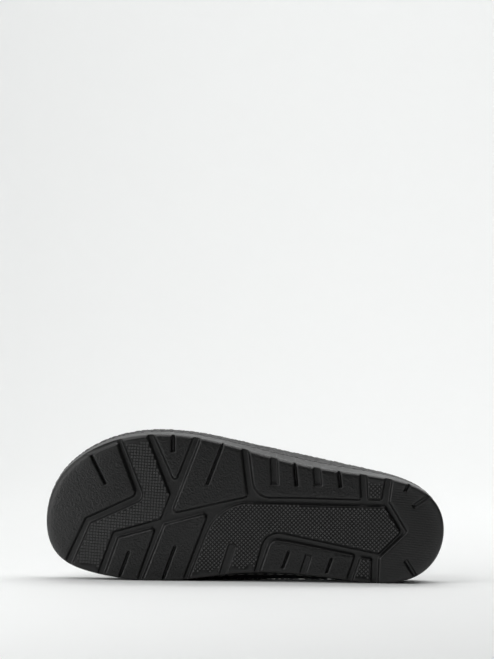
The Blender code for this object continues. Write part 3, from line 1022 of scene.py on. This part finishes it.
def apply_tree(name, mesh, tree, values):
    """Run a geometry node tree with named input values and return what it makes as a plain mesh."""
    item = bpy.data.objects.new(name + "_source", mesh)
    bpy.context.scene.collection.objects.link(item)
    modifier = item.modifiers.new(name, "NODES")
    modifier.node_group = tree
    for socket in tree.interface.items_tree:
        if socket.in_out == "INPUT" and socket.name in values:
            modifier[socket.identifier] = values[socket.name]
    bpy.context.view_layer.update()
    graph = bpy.context.evaluated_depsgraph_get()
    made = bpy.data.meshes.new_from_object(item.evaluated_get(graph))
    made.name = name
    bpy.data.objects.remove(item, do_unlink=True)
    made.transform(SHOE)
    return made


def start_tree(name, inputs):
    """Start a geometry node tree that takes a geometry, named sizes and a paint."""
    shape = ("Geometry", "NodeSocketGeometry")
    inputs = ((*shape, None), *inputs, ("Paint", "NodeSocketMaterial", None))
    tree, start, end = new_group(name, "GeometryNodeTree", inputs, (shape,))
    return tree, start.outputs, end


def plant(tree, spots, shape, turn, scale, paint, end):
    """Set copies of a shape on spots, join and paint them and hand them out of the tree."""
    copies = add_node(tree, "GeometryNodeInstanceOnPoints",
                      {"Points": spots, "Instance": shape, "Rotation": turn, "Scale": scale})
    whole = add_node(tree, "GeometryNodeRealizeInstances", {"Geometry": copies.outputs["Instances"]})
    painted = add_node(tree, "GeometryNodeSetMaterial",
                       {"Geometry": whole.outputs["Geometry"], "Material": paint})
    tree.links.new(painted.outputs["Geometry"], end.inputs["Geometry"])
    return tree


def stud_tree():
    """Make the tree that sets studs on a grid over a panel and drops those that miss it."""
    inputs = (("Pitch", "NodeSocketFloat", 2.0), ("Turn", "NodeSocketFloat", 0.0),
              ("Centre", "NodeSocketVector", None), ("Span", "NodeSocketFloat", 150.0),
              ("Stud", "NodeSocketVector", None), ("Top", "NodeSocketFloat", 0.5),
              ("Wear", "NodeSocketFloat", 1.0))
    tree, sizes, end = start_tree("studs", inputs)
    steps = math_node(tree, "CEIL", math_node(tree, "DIVIDE", sizes["Span"], sizes["Pitch"]))
    count = math_node(tree, "ADD", steps, 1.0)
    span = math_node(tree, "MULTIPLY", steps, sizes["Pitch"])
    grid = add_node(tree, "GeometryNodeMeshGrid",
                    {"Size X": span, "Size Y": span, "Vertices X": count, "Vertices Y": count})
    turn = add_node(tree, "ShaderNodeCombineXYZ", {"Z": sizes["Turn"]})
    laid = add_node(tree, "GeometryNodeTransform", {"Geometry": grid.outputs["Mesh"],
                                                    "Translation": sizes["Centre"],
                                                    "Rotation": turn.outputs["Vector"]})
    ray = add_node(tree, "GeometryNodeRaycast", {"Target Geometry": sizes["Geometry"],
                                                 "Ray Direction": (0, 0, 1), "Ray Length": 100.0})
    missed = add_node(tree, "FunctionNodeBooleanMath", {0: ray.outputs["Is Hit"]}, operation="NOT")
    kept = add_node(tree, "GeometryNodeDeleteGeometry", {"Geometry": laid.outputs["Geometry"],
                                                         "Selection": missed.outputs["Boolean"]})
    set_down = add_node(tree, "GeometryNodeSetPosition", {"Geometry": kept.outputs["Geometry"],
                                                          "Position": ray.outputs["Hit Position"]})
    stud = add_node(tree, "GeometryNodeMeshCone", {"Vertices": 4, "Radius Top": sizes["Top"],
                                                   "Radius Bottom": STUD_DIAGONAL, "Depth": 1.0})
    # Painted highlight: the stud's top face is marked to be painted lighter.
    wear = math_node(tree, "MULTIPLY", stud.outputs["Top"], sizes["Wear"])
    topped = add_node(tree, "GeometryNodeStoreNamedAttribute",
                      {"Geometry": stud.outputs["Mesh"], "Name": "worn", "Value": wear}, domain="FACE")
    square = add_node(tree, "GeometryNodeTransform", {"Geometry": topped.outputs["Geometry"],
                                                      "Rotation": (0, 0, math.pi / 4)})
    flip = add_node(tree, "ShaderNodeCombineXYZ", {"X": math.pi, "Z": sizes["Turn"]})
    return plant(tree, set_down.outputs["Geometry"], square.outputs["Geometry"], flip.outputs["Vector"],
                 sizes["Stud"], sizes["Paint"], end)


def stitch_tree():
    """Make the tree that lays stitches end to end along a path."""
    inputs = (("Pitch", "NodeSocketFloat", 7.0), ("Stitch", "NodeSocketVector", None))
    tree, sizes, end = start_tree("stitches", inputs)
    path = add_node(tree, "GeometryNodeMeshToCurve", {"Mesh": sizes["Geometry"]})
    spaced = add_node(tree, "GeometryNodeResampleCurve", {"Curve": path.outputs["Curve"],
                                                          "Length": sizes["Pitch"]}, mode="LENGTH")
    tangent = add_node(tree, "GeometryNodeInputTangent").outputs["Tangent"]
    turn = add_node(tree, "FunctionNodeAlignRotationToVector", {"Vector": tangent}, axis="X")
    ball = add_node(tree, "GeometryNodeMeshUVSphere", {"Segments": 10, "Rings": 7, "Radius": 0.5})
    upright = add_node(tree, "GeometryNodeTransform", {"Geometry": ball.outputs["Mesh"],
                                                       "Rotation": (0, math.pi / 2, 0)})
    return plant(tree, spaced.outputs["Curve"], upright.outputs["Geometry"], turn.outputs["Rotation"],
                 sizes["Stitch"], sizes["Paint"], end)


TREE_MAKERS = {"studs": stud_tree, "stitches": stitch_tree}


def shared_tree(name):
    """Return a geometry node tree, making it once."""
    return bpy.data.node_groups.get(name) or TREE_MAKERS[name]()


def panel_patch(outsole, number):
    """Copy the outsole's faces of one sunk panel, in shoe millimetres."""
    mesh = outsole.data
    marks = np.zeros(len(mesh.polygons), dtype=np.int32)
    mesh.attributes["panel"].data.foreach_get("value", marks)
    back = SHOE.inverted()
    faces = [list(mesh.polygons[i].vertices) for i in np.flatnonzero(marks == number)]
    used = sorted({i for f in faces for i in f})
    place = {old: new for new, old in enumerate(used)}
    patch = bpy.data.meshes.new("panel")
    spots = [back @ mesh.vertices[i].co for i in used]
    patch.from_pydata(spots, [], [[place[i] for i in f] for f in faces])
    return patch, np.array(spots)


def make_studs(sizes, outsole):
    """Set studs on the sunk panels of the tread."""
    paint = outsole.data.materials[0]
    height = in_mm(sizes.stud_height)
    for number, stud in enumerate(STUDS, start=1):
        name = "tread_" + stud.finish
        pitch = in_mm(getattr(sizes, stud.pitch))
        width = STUD_SHARE * pitch
        patch, spots = panel_patch(outsole, number)
        low, high = spots.min(axis=0), spots.max(axis=0)
        centre = (low + high) / 2
        centre[2] = low[2] - STUD_GRID_DROP
        values = {"Pitch": pitch, "Turn": getattr(sizes, stud.turn), "Centre": centre.tolist(),
                  "Span": STUD_GRID_SPAN * float(max(high[0] - low[0], high[1] - low[1])),
                  "Stud": [width, width, height], "Top": stud.top, "Wear": stud.wear, "Paint": paint}
        mesh = apply_tree(name, patch, shared_tree("studs"), values)
        place_piece(name, mesh, [paint]).data.shade_flat()


# The rim.


def pebbles(points, pitch):
    """Return a pebbled height from 0 to 1 at each point."""
    values = np.empty(len(points))
    for i, point in enumerate(points):
        gaps = noise.voronoi(Vector(point) / pitch)[0]
        values[i] = gaps[1] - gaps[0]
    return smooth_step(values * PEBBLE_SLOPE)


def settle(rings, shares):
    """Let the soft rim settle on the floor where it nearly touches it."""
    stack = np.array(rings)
    low = floor_height(stack).min(axis=0)
    near = smooth_step((SETTLE_REACH - low) / SETTLE_REACH * SETTLE_STEEP)
    drop = np.clip(low - FLOOR_CLEAR, 0, None) * near
    upward = np.array(SHOE)[2, :3]
    down = -upward / np.linalg.norm(upward)
    return stack + (np.array(shares)[:, None] * drop)[:, :, None] * down


def make_midsole(sizes, seam):
    """Build the pebbled rim from the seam over its lip and down to the tray floor."""
    at = round_angles(RIM_POINTS)
    rows = [(wall(at, level("joint", GAP), seam), 0.0, 0.0),
            (wall(at, level("joint", GAP + ROUNDING * seam), ROUNDING * seam), 0.0, 0.0)]
    for k in range(RIM_ROWS):
        share = k / (RIM_ROWS - 1)
        swell = RIM_SWELL * math.sin(math.pi * share)
        ring = wall(at, between(share, GAP + seam, -RIM_EDGE), -swell)
        rows.append((ring, min(1.0, share * PEBBLE_RISE), smooth_step(share * SETTLE_RISE)))
    rows += [(wall(at, level("rim", -row.drop), row.inset), row.pebbled, row.settled) for row in LIPS]
    rings, pebbled, settled = zip(*rows)
    outward = np.column_stack([tread(at)[1], np.zeros(len(at))])
    lift = in_mm(sizes.pebble_height)
    shaped = []
    for place, ring, amount in zip(settle(rings, settled), rings, pebbled):
        if amount:
            creases = pebbles(ring, in_mm(sizes.pebble_pitch)) - 1.0
            place = place + outward * (creases * lift * amount)[:, None]
        shaped.append(place)
    points, faces = loft(shaped)
    paint = grained_material("grained rim", sizes.colour, sizes.roughness)
    add_piece("midsole_rim", points, faces, [paint], "midsole")


def path_mesh(points, closed):
    """Make a mesh of edges along a path."""
    mesh = bpy.data.meshes.new("path")
    edges = [(i, i + 1) for i in range(len(points) - 1)]
    if closed:
        edges.append((len(points) - 1, 0))
    mesh.from_pydata([tuple(p) for p in points], edges, [])
    return mesh


def sew(name, points, closed, pitch, stitch, paint):
    """Sew stitches along a path and show them as a piece."""
    values = {"Pitch": pitch, "Stitch": stitch, "Paint": paint}
    mesh = apply_tree(name, path_mesh(points, closed), shared_tree("stitches"), values)
    place_piece(name, mesh, [paint])


def make_seam_stitches(sizes, seam):
    """Sew the stitches that lie in the groove between outsole and rim."""
    at = round_angles(RIM_POINTS)
    path = wall(at, level("joint", GAP / 2), SEAM_INSET * seam)
    thread = in_mm(sizes.thread)
    sunk = np.clip(thread / 2 + FLOOR_CLEAR - floor_height(path), 0, None)
    path[:, :2] -= tread(at)[1] * sunk[:, None]
    stitch = [in_mm(sizes.length), thread, thread]
    paint = thread_material("seam thread", sizes.colour)
    sew("seam_stitches", path, True, in_mm(sizes.pitch), stitch, paint)


# The footbed.


def slot_room(at, band_wall):
    """Return how far the insole stays clear of the band round the outline."""
    room = np.zeros(len(at))
    fade = 2 * math.pi * SLOT_FADE
    for side in BASES:
        low, high = sorted(base_span(side))
        lead = smooth_step((at - low + SLOT_LEAD * fade) / fade)
        room += lead * smooth_step((high + SLOT_LEAD * fade - at) / fade)
    return room * (band_wall + GAP)


def make_insole(sizes, band_wall):
    """Build the footbed with its heel cup, arch and rolled edge."""
    at = round_angles(INSOLE_POINTS)
    inset = LIP + GAP + slot_room(at, band_wall)

    def bed(point, share):
        cup = profile("cup", point[0]) * (1 - (2 * share - 1) ** 2)
        rise = profile("arch", point[0]) * np.clip(1 - ((share - ARCH_MIDDLE) / ARCH_HALF) ** 2, 0, None)
        return point + np.array([0.0, 0.0, float(rise - cup)])

    rings = [wall(at, level("rim", GAP - TRAY_DEPTH), inset)]
    for turn in INSOLE_TURNS:
        lean = math.radians(turn)
        fall = INSOLE_EDGE * (1 - math.sin(lean))
        shift = INSOLE_EDGE * (1 - math.cos(lean))
        rings.append(wall(at, level("rim", -INSOLE_DROP - fall), inset + shift))
    points, faces = loft(rings, INSOLE_COLUMNS, bed)
    paint = grained_material("footbed cover", sizes.colour, sizes.roughness)
    add_piece("insole_footbed", points, faces, [paint], "insole")


# The band.


def band(name, along):
    """Interpolate a band column between its back and front edge."""
    knots = column(BAND_COLUMNS, BAND_ROWS, "along")
    return natural_spline(knots, column(BAND_COLUMNS, BAND_ROWS, name), along)


def band_face(along):
    """Return rows of points of the band's outer face, from its outer foot over to its inner foot."""
    drops = [tray * TRAY_DEPTH + gap * GAP for tray, gap in FOOT_ROWS]
    feet = {}
    for side in BASES:
        back, front = base_span(side)
        at = back + (front - back) * along
        feet[side] = [wall(at, level("rim", drop), LIP + GAP) for drop in drops]
    outer, inner = feet["outer"][-1], feet["inner"][-1]
    height, ridge, forward = (band(name, along) for name in ("height", "ridge", "forward"))
    outer_bulge, inner_bulge = band("outer_bulge", along), band("inner_bulge", along)
    rows = list(feet["outer"])
    shares = np.linspace(0, 1, BAND_ACROSS + 1)[1:-1]
    for turn in math.pi * (shares - BAND_CROWD * np.sin(2 * math.pi * shares) / (2 * math.pi)):
        lift = math.sin(turn) ** (2 / STRAP_POWER)
        reach = math.copysign(abs(math.cos(turn)) ** (2 / STRAP_POWER), math.cos(turn))
        point = (outer + inner) / 2 + (outer - inner) / 2 * reach
        swell = outer_bulge if reach > 0 else -inner_bulge
        point[:, 0] += forward * lift
        point[:, 1] += swell * 4 * lift * (1 - lift) - ridge * lift ** 2
        point[:, 2] += height * lift
        rows.append(point)
    rows += feet["inner"][::-1]
    return np.array(rows)


def face_normals(face):
    """Return outward directions of a grid of points."""
    across = np.gradient(face, axis=0)
    along = np.gradient(face, axis=1)
    normal = np.cross(across, along)
    normal /= np.linalg.norm(normal, axis=2)[:, :, None]
    middle = normal[len(normal) // 2, len(normal[0]) // 2]
    return normal if middle[2] > 0 else -normal


def crease_depth(face, along):
    """Return how far the soft creases press the band's face in."""
    total = np.zeros(face.shape[:2])
    rim = profile("rim", face[:, :, 0].ravel()).reshape(face.shape[:2])
    rise = face[:, :, 2] - rim
    outer = face[:, :, 1] > np.median(face[:, :, 1])
    for crease in CREASES:
        beyond = along - crease.middle
        line = np.exp(-((rise - crease.rise - CREASE_SLOPE * beyond) / crease.width) ** 2)
        fade = smooth_step(1 - np.abs(beyond) / crease.reach)
        ours = outer if crease.side == "outer" else ~outer
        total += crease.depth * line * fade * ours
    return total


def band_length():
    """Return the mean distance from the band's back edge to its front edge."""
    whole = band_face(np.linspace(0, 1, BAND_ALONG + 1))
    return np.linalg.norm(np.diff(whole, axis=1), axis=2).sum(axis=1).mean()


def make_band(sizes):
    """Build the band as one wall with folded edges, soft creases, a face and a lining."""
    thick = in_mm(sizes.wall)
    length = band_length()
    inside = thick / 2 / length
    along = inside + (1 - 2 * inside) * np.linspace(0, 1, BAND_ALONG + 1)
    face = band_face(along)
    normal = face_normals(face)
    from_edge = length * np.minimum(along, 1 - along)
    rise = in_mm(sizes.fold_rise)
    fold = rise * (1 - smooth_step((from_edge - in_mm(sizes.fold_width)) / FOLD_EASE))
    press = crease_depth(face, along)
    outer = face + normal * (fold - rise - press)[:, :, None]
    inner = face - normal * thick + normal * (-LINING_PRESS * press)[:, :, None]
    run = np.gradient(face, axis=1)
    run /= np.linalg.norm(run, axis=2)[:, :, None]
    points, loops = [], []
    for i in range(len(face)):
        loop = list(outer[i])
        for end, sign in ((-1, 1), (0, -1)):
            middle = (outer[i][end] + inner[i][end]) / 2
            lift = (outer[i][end] - inner[i][end]) / 2 * sign
            push = run[i][end] * sign * thick / 2
            for k in range(1, EDGE_ARC):
                turn = math.pi * k / EDGE_ARC
                loop.append(middle + lift * math.cos(turn) + push * math.sin(turn))
            if end == -1:
                loop += list(inner[i][::-1])
        loops.append(range(len(points), len(points) + len(loop)))
        points += loop
    count = len(loops[0])
    faces = ring_faces(len(loops), count)
    first = BAND_ALONG + EDGE_ARC + 1
    lined = [first <= k % count <= first + BAND_ALONG for k in range(len(faces))]
    faces += [list(loops[0]), list(loops[-1])]
    hide = grained_material("band leather", sizes.colour, sizes.roughness)
    cloth = grained_material("band lining", sizes.lining, LINING_ROUGHNESS)
    item = add_piece("upper_band", points, faces, [hide, cloth], "upper")
    for polygon, under in zip(item.data.polygons, lined):
        polygon.material_index = 1 if under else 0


def make_band_stitches(sizes, thread):
    """Sew a row of stitches along each edge of the band."""
    inset = in_mm(sizes.stitch_inset) / band_length()
    width = in_mm(sizes.stitch_thread)
    stitch = [in_mm(sizes.stitch_length), width, width]
    paint = thread_material("band thread", thread)
    for name, place in (("back", inset), ("front", 1 - inset)):
        near = place + np.array([-STITCH_STEP, 0.0, STITCH_STEP])
        face = band_face(near)
        lift = STITCH_LIFT * width - crease_depth(face, near)
        path = face + face_normals(face) * lift[:, :, None]
        shown = path[STITCH_HIDDEN:-STITCH_HIDDEN, 1]
        sew("band_stitches_" + name, shown, False, in_mm(sizes.stitch_pitch), stitch, paint)


# The stage.


def floor_material(colour):
    """Make the plain pale paper of the floor and backdrop."""
    constants = {"Specular IOR Level": 0.1, "Roughness": PAPER_ROUGHNESS}
    paint, tree, shader, place = start_material("pale paper", constants)
    marks = place_group(tree, "handling", {"Vector": place, "Amount": PAPER_MARKS,
                                           "Roughness": PAPER_ROUGHNESS})
    tint(tree, shader, colour, [marks.outputs["Tone"]])
    return paint


def make_sweep(sizes):
    """Build a floor that curves up into a backdrop."""
    side = sizes.sweep_width / 2
    bend = sizes.sweep_bend
    back = sizes.sweep_back
    line = [(-sizes.sweep_front, 0.0)]
    for k in range(SWEEP_STEPS + 1):
        turn = math.pi / 2 * k / SWEEP_STEPS
        line.append((back + bend * math.sin(turn), bend * (1 - math.cos(turn))))
    line.append((back + bend, sizes.sweep_height))
    points = [(x, y, z) for y, z in line for x in (-side, side)]
    faces = [[2 * i, 2 * i + 1, 2 * i + 3, 2 * i + 2] for i in range(len(line) - 1)]
    mesh = bpy.data.meshes.new("sweep")
    mesh.from_pydata(points, [], faces)
    mesh.materials.append(floor_material(sizes.floor_colour))
    mesh.shade_smooth()
    item = bpy.data.objects.new("sweep", mesh)
    bpy.context.scene.collection.objects.link(item)


def add_light(light, power):
    """Add a soft rectangular light that faces a target."""
    data = bpy.data.lights.new(light.name, "AREA")
    data.shape = "RECTANGLE"
    data.size = light.width
    data.size_y = light.height
    data.energy = power
    item = bpy.data.objects.new(light.name, data)
    aim = Vector(light.target) - Vector(light.place)
    item.matrix_world = Matrix.Translation(light.place) @ aim.to_track_quat("-Z", "Y").to_matrix().to_4x4()
    bpy.context.scene.collection.objects.link(item)


def add_camera(sizes):
    """Add the camera in front of the sole, pitched up and rolled as the photograph was."""
    data = bpy.data.cameras.new("camera")
    data.sensor_fit = "VERTICAL"
    data.sensor_height = FILM_HEIGHT
    data.lens = sizes.lens
    data.clip_start, data.clip_end = SIGHT
    item = bpy.data.objects.new("camera", data)
    pitch = Matrix.Rotation(math.pi / 2 + sizes.camera_pitch, 4, "X")
    roll = Matrix.Rotation(sizes.camera_roll, 4, "Z")
    item.matrix_world = Matrix.Translation(sizes.camera_place) @ pitch @ roll
    bpy.context.scene.collection.objects.link(item)
    bpy.context.scene.camera = item


def make_stage(sizes):
    """Build the floor, the lights, the room light and the camera."""
    make_sweep(sizes)
    for light in LIGHTS:
        add_light(light, getattr(sizes, light.power))
    world = bpy.data.worlds.new("room")
    world.use_nodes = True
    room = world.node_tree.nodes["Background"]
    room.inputs["Color"].default_value = (1.0, 1.0, 1.0, 1.0)
    room.inputs["Strength"].default_value = sizes.room_light
    scene = bpy.context.scene
    scene.world = world
    scene.view_settings.view_transform = "Standard"
    add_camera(sizes)


# Settings.


def length_property(name, description, default):
    """Return a size that a user may change."""
    return bpy.props.FloatProperty(name=name, description=description, default=default, min=0.0,
                                   precision=5, subtype="DISTANCE", unit="LENGTH")


def colour_property(name, description, default):
    """Return a colour that a user may change."""
    return bpy.props.FloatVectorProperty(name=name, description=description, default=default, size=4,
                                         min=0.0, max=1.0, subtype="COLOR")


def factor_property(name, description, default):
    """Return a share from 0 to 1 that a user may change."""
    return bpy.props.FloatProperty(name=name, description=description, default=default, min=0.0, max=1.0,
                                   subtype="FACTOR")


def angle_property(name, description, degrees):
    """Return an angle that a user may change."""
    return bpy.props.FloatProperty(name=name, description=description, default=math.radians(degrees),
                                   subtype="ANGLE", unit="ROTATION")


def power_property(name, description, default):
    """Return a light's power."""
    return bpy.props.FloatProperty(name=name, description=description, default=default, min=0.0,
                                   unit="POWER")


class OutsoleSettings(bpy.types.PropertyGroup):
    """Sizes and colour of the outsole and its tread."""

    groove_depth: length_property("Groove depth", "Depth of the channels between the lugs", 0.0024)
    seam_depth: length_property("Seam depth", "Depth of the groove between outsole and rim", 0.0012)
    stud_height: length_property("Stud height", "Height of the studs on the sunk panels", 0.00042)
    square_pitch: length_property("Square pitch", "Spacing of the square studs", 0.00207)
    diamond_pitch: length_property("Diamond pitch", "Spacing of the diamond studs", 0.00207)
    line_pitch: length_property("Line pitch", "Spacing of the fine lines on the heel pad", 0.0017)
    grain_size: length_property("Grain size", "Size of the grain on the pads", 0.0012)
    grain_depth: length_property("Grain depth", "Depth of the grain on the pads", 0.00035)
    square_turn: angle_property("Square turn", "Turn of the square studs to the sole", -2.2)
    diamond_turn: angle_property("Diamond turn", "Turn of the diamond studs to the sole", 39.7)
    roughness: factor_property("Roughness", "Roughness of the rubber", 0.34)
    colour: colour_property("Colour", "Colour of the rubber", (0.0075, 0.0075, 0.0075, 1.0))
    # Painted highlight: how much lighter the stud tops are painted.
    stud_highlight: bpy.props.FloatProperty(name="Stud wear", default=8.5,
                                       description="How much lighter the worn tops of the studs are")


class MidsoleSettings(bpy.types.PropertyGroup):
    """Sizes and colour of the rim."""

    pebble_height: length_property("Pebble height", "Height of the pebbles on the rim", 0.00035)
    pebble_pitch: length_property("Pebble pitch", "Spacing of the pebbles on the rim", 0.0031)
    roughness: factor_property("Roughness", "Roughness of the rim", 0.42)
    colour: colour_property("Colour", "Colour of the rim", (0.011, 0.011, 0.011, 1.0))


class StitchSettings(bpy.types.PropertyGroup):
    """Sizes and colour of the seam stitches."""

    pitch: length_property("Pitch", "Spacing of the stitches", 0.007)
    length: length_property("Length", "Length of one stitch", 0.0052)
    thread: length_property("Thread", "Thickness of the thread", 0.001)
    colour: colour_property("Colour", "Colour of the thread", (0.2, 0.2, 0.2, 1.0))


class InsoleSettings(bpy.types.PropertyGroup):
    """Finish of the footbed."""

    roughness: factor_property("Roughness", "Roughness of the footbed cover", 0.75)
    colour: colour_property("Colour", "Colour of the footbed cover", (0.03, 0.028, 0.027, 1.0))


class BandSettings(bpy.types.PropertyGroup):
    """Sizes and colours of the band."""

    wall: length_property("Wall", "Thickness of the band", 0.0026)
    fold_width: length_property("Fold width", "Width of the folded edge", 0.0055)
    fold_rise: length_property("Fold rise", "How far the folded edge stands proud", 0.00025)
    stitch_inset: length_property("Stitch inset", "Distance of the stitches from the edge", 0.0036)
    stitch_pitch: length_property("Stitch pitch", "Spacing of the band's stitches", 0.0034)
    stitch_length: length_property("Stitch length", "Length of one stitch of the band", 0.0027)
    stitch_thread: length_property("Stitch thread", "Thickness of the band's thread", 0.0006)
    roughness: factor_property("Roughness", "Roughness of the leather", 0.48)
    colour: colour_property("Colour", "Colour of the leather", (0.014, 0.0135, 0.013, 1.0))
    lining: colour_property("Lining", "Colour of the lining", (0.022, 0.021, 0.02, 1.0))


class StageSettings(bpy.types.PropertyGroup):
    """Floor, lights and camera."""

    floor_colour: colour_property("Floor", "Colour of the floor", (0.86, 0.87, 0.865, 1.0))
    sweep_width: length_property("Sweep width", "Width of the floor", 7.0)
    sweep_front: length_property("Sweep front", "Reach of the floor to the front", 3.0)
    sweep_back: length_property("Sweep back", "Where the floor starts to bend up", 1.1)
    sweep_bend: length_property("Sweep bend", "Radius of the bend", 0.9)
    sweep_height: length_property("Sweep height", "Height of the backdrop", 3.5)
    camera_place: bpy.props.FloatVectorProperty(name="Camera place", description="Where the camera stands",
                                                default=(0.0004, -1.63, 0.14), size=3,
                                                subtype="TRANSLATION", unit="LENGTH")
    camera_pitch: angle_property("Camera pitch", "How far the camera tilts up", 1.37)
    camera_roll: angle_property("Camera roll", "How far the camera rolls", 0.7)
    lens: bpy.props.FloatProperty(name="Lens", description="Focal length of the camera in millimetres",
                                  default=123.1, unit="CAMERA")
    top_power: power_property("Top light", "Power of the light over the shoe", 14.0)
    right_power: power_property("Right light", "Power of the light over the right side", 13.0)
    side_power: power_property("Side panel", "Power of the panel beside the toe", 1.25)
    front_power: power_property("Front panel", "Power of the panel before the toe", 3.2)
    high_power: power_property("High panel", "Power of the panel high at the left", 2.3)
    back_power: power_property("Back light", "Power of the light on the backdrop", 24.5)
    room_light: bpy.props.FloatProperty(name="Room light", description="Strength of the room's own light",
                                        default=0.01, min=0.0)


class SandalSettings(bpy.types.PropertyGroup):
    """All settings of the sandal."""

    outsole: bpy.props.PointerProperty(type=OutsoleSettings, name="Outsole", description="The outsole")
    midsole: bpy.props.PointerProperty(type=MidsoleSettings, name="Rim", description="The rim")
    seam: bpy.props.PointerProperty(type=StitchSettings, name="Seam", description="The seam stitches")
    insole: bpy.props.PointerProperty(type=InsoleSettings, name="Footbed", description="The footbed")
    band: bpy.props.PointerProperty(type=BandSettings, name="Band", description="The band")
    stage: bpy.props.PointerProperty(type=StageSettings, name="Stage",
                                     description="Floor, lights and camera")


# Operators.


class SANDAL_OT_outsole(bpy.types.Operator):
    """Build the outsole with its lugs"""

    bl_idname = "sandal.make_outsole"
    bl_label = "Make outsole"

    def execute(self, context):
        make_outsole(context.scene.sandal.outsole)
        return {"FINISHED"}


class SANDAL_OT_studs(bpy.types.Operator):
    """Set studs on the panels of the tread"""

    bl_idname = "sandal.make_studs"
    bl_label = "Make studs"

    def execute(self, context):
        outsole = bpy.data.objects.get("outsole_rubber")
        if outsole is None or "panel" not in outsole.data.attributes:
            raise RuntimeError("the outsole is made before its studs")
        make_studs(context.scene.sandal.outsole, outsole)
        return {"FINISHED"}


class SANDAL_OT_midsole(bpy.types.Operator):
    """Build the pebbled rim"""

    bl_idname = "sandal.make_midsole"
    bl_label = "Make rim"

    def execute(self, context):
        settings = context.scene.sandal
        make_midsole(settings.midsole, in_mm(settings.outsole.seam_depth))
        return {"FINISHED"}


class SANDAL_OT_seam(bpy.types.Operator):
    """Sew the seam between outsole and rim"""

    bl_idname = "sandal.make_seam"
    bl_label = "Make seam stitches"

    def execute(self, context):
        settings = context.scene.sandal
        make_seam_stitches(settings.seam, in_mm(settings.outsole.seam_depth))
        return {"FINISHED"}


class SANDAL_OT_insole(bpy.types.Operator):
    """Build the footbed"""

    bl_idname = "sandal.make_insole"
    bl_label = "Make footbed"

    def execute(self, context):
        settings = context.scene.sandal
        make_insole(settings.insole, in_mm(settings.band.wall))
        return {"FINISHED"}


class SANDAL_OT_band(bpy.types.Operator):
    """Build the band and sew its edges"""

    bl_idname = "sandal.make_band"
    bl_label = "Make band"

    def execute(self, context):
        settings = context.scene.sandal
        make_band(settings.band)
        make_band_stitches(settings.band, settings.seam.colour)
        return {"FINISHED"}


class SANDAL_OT_stage(bpy.types.Operator):
    """Build the floor, the lights and the camera"""

    bl_idname = "sandal.make_stage"
    bl_label = "Make stage"

    def execute(self, context):
        make_stage(context.scene.sandal.stage)
        return {"FINISHED"}


OPERATORS = (SANDAL_OT_outsole, SANDAL_OT_studs, SANDAL_OT_midsole, SANDAL_OT_seam, SANDAL_OT_insole,
             SANDAL_OT_band, SANDAL_OT_stage)


class SANDAL_PT_panel(bpy.types.Panel):
    """List the steps that build the sandal"""

    bl_idname = "SANDAL_PT_panel"
    bl_label = "Slide Sandal"
    bl_space_type = "VIEW_3D"
    bl_region_type = "UI"
    bl_category = "Sandal"

    def draw(self, context):
        for operator in OPERATORS:
            self.layout.operator(operator.bl_idname)


CLASSES = (OutsoleSettings, MidsoleSettings, StitchSettings, InsoleSettings, BandSettings, StageSettings,
           SandalSettings, *OPERATORS, SANDAL_PT_panel)


def register():
    """Register the classes and the settings."""
    for item in CLASSES:
        bpy.utils.register_class(item)
    bpy.types.Scene.sandal = bpy.props.PointerProperty(type=SandalSettings)


def unregister():
    """Remove the settings and the classes."""
    del bpy.types.Scene.sandal
    for item in reversed(CLASSES):
        bpy.utils.unregister_class(item)


def main():
    """Build every piece in order."""
    register()
    bpy.ops.sandal.make_stage()
    bpy.ops.sandal.make_outsole()
    bpy.ops.sandal.make_studs()
    bpy.ops.sandal.make_midsole()
    bpy.ops.sandal.make_seam()
    bpy.ops.sandal.make_insole()
    bpy.ops.sandal.make_band()


if __name__ == "__main__":
    main()
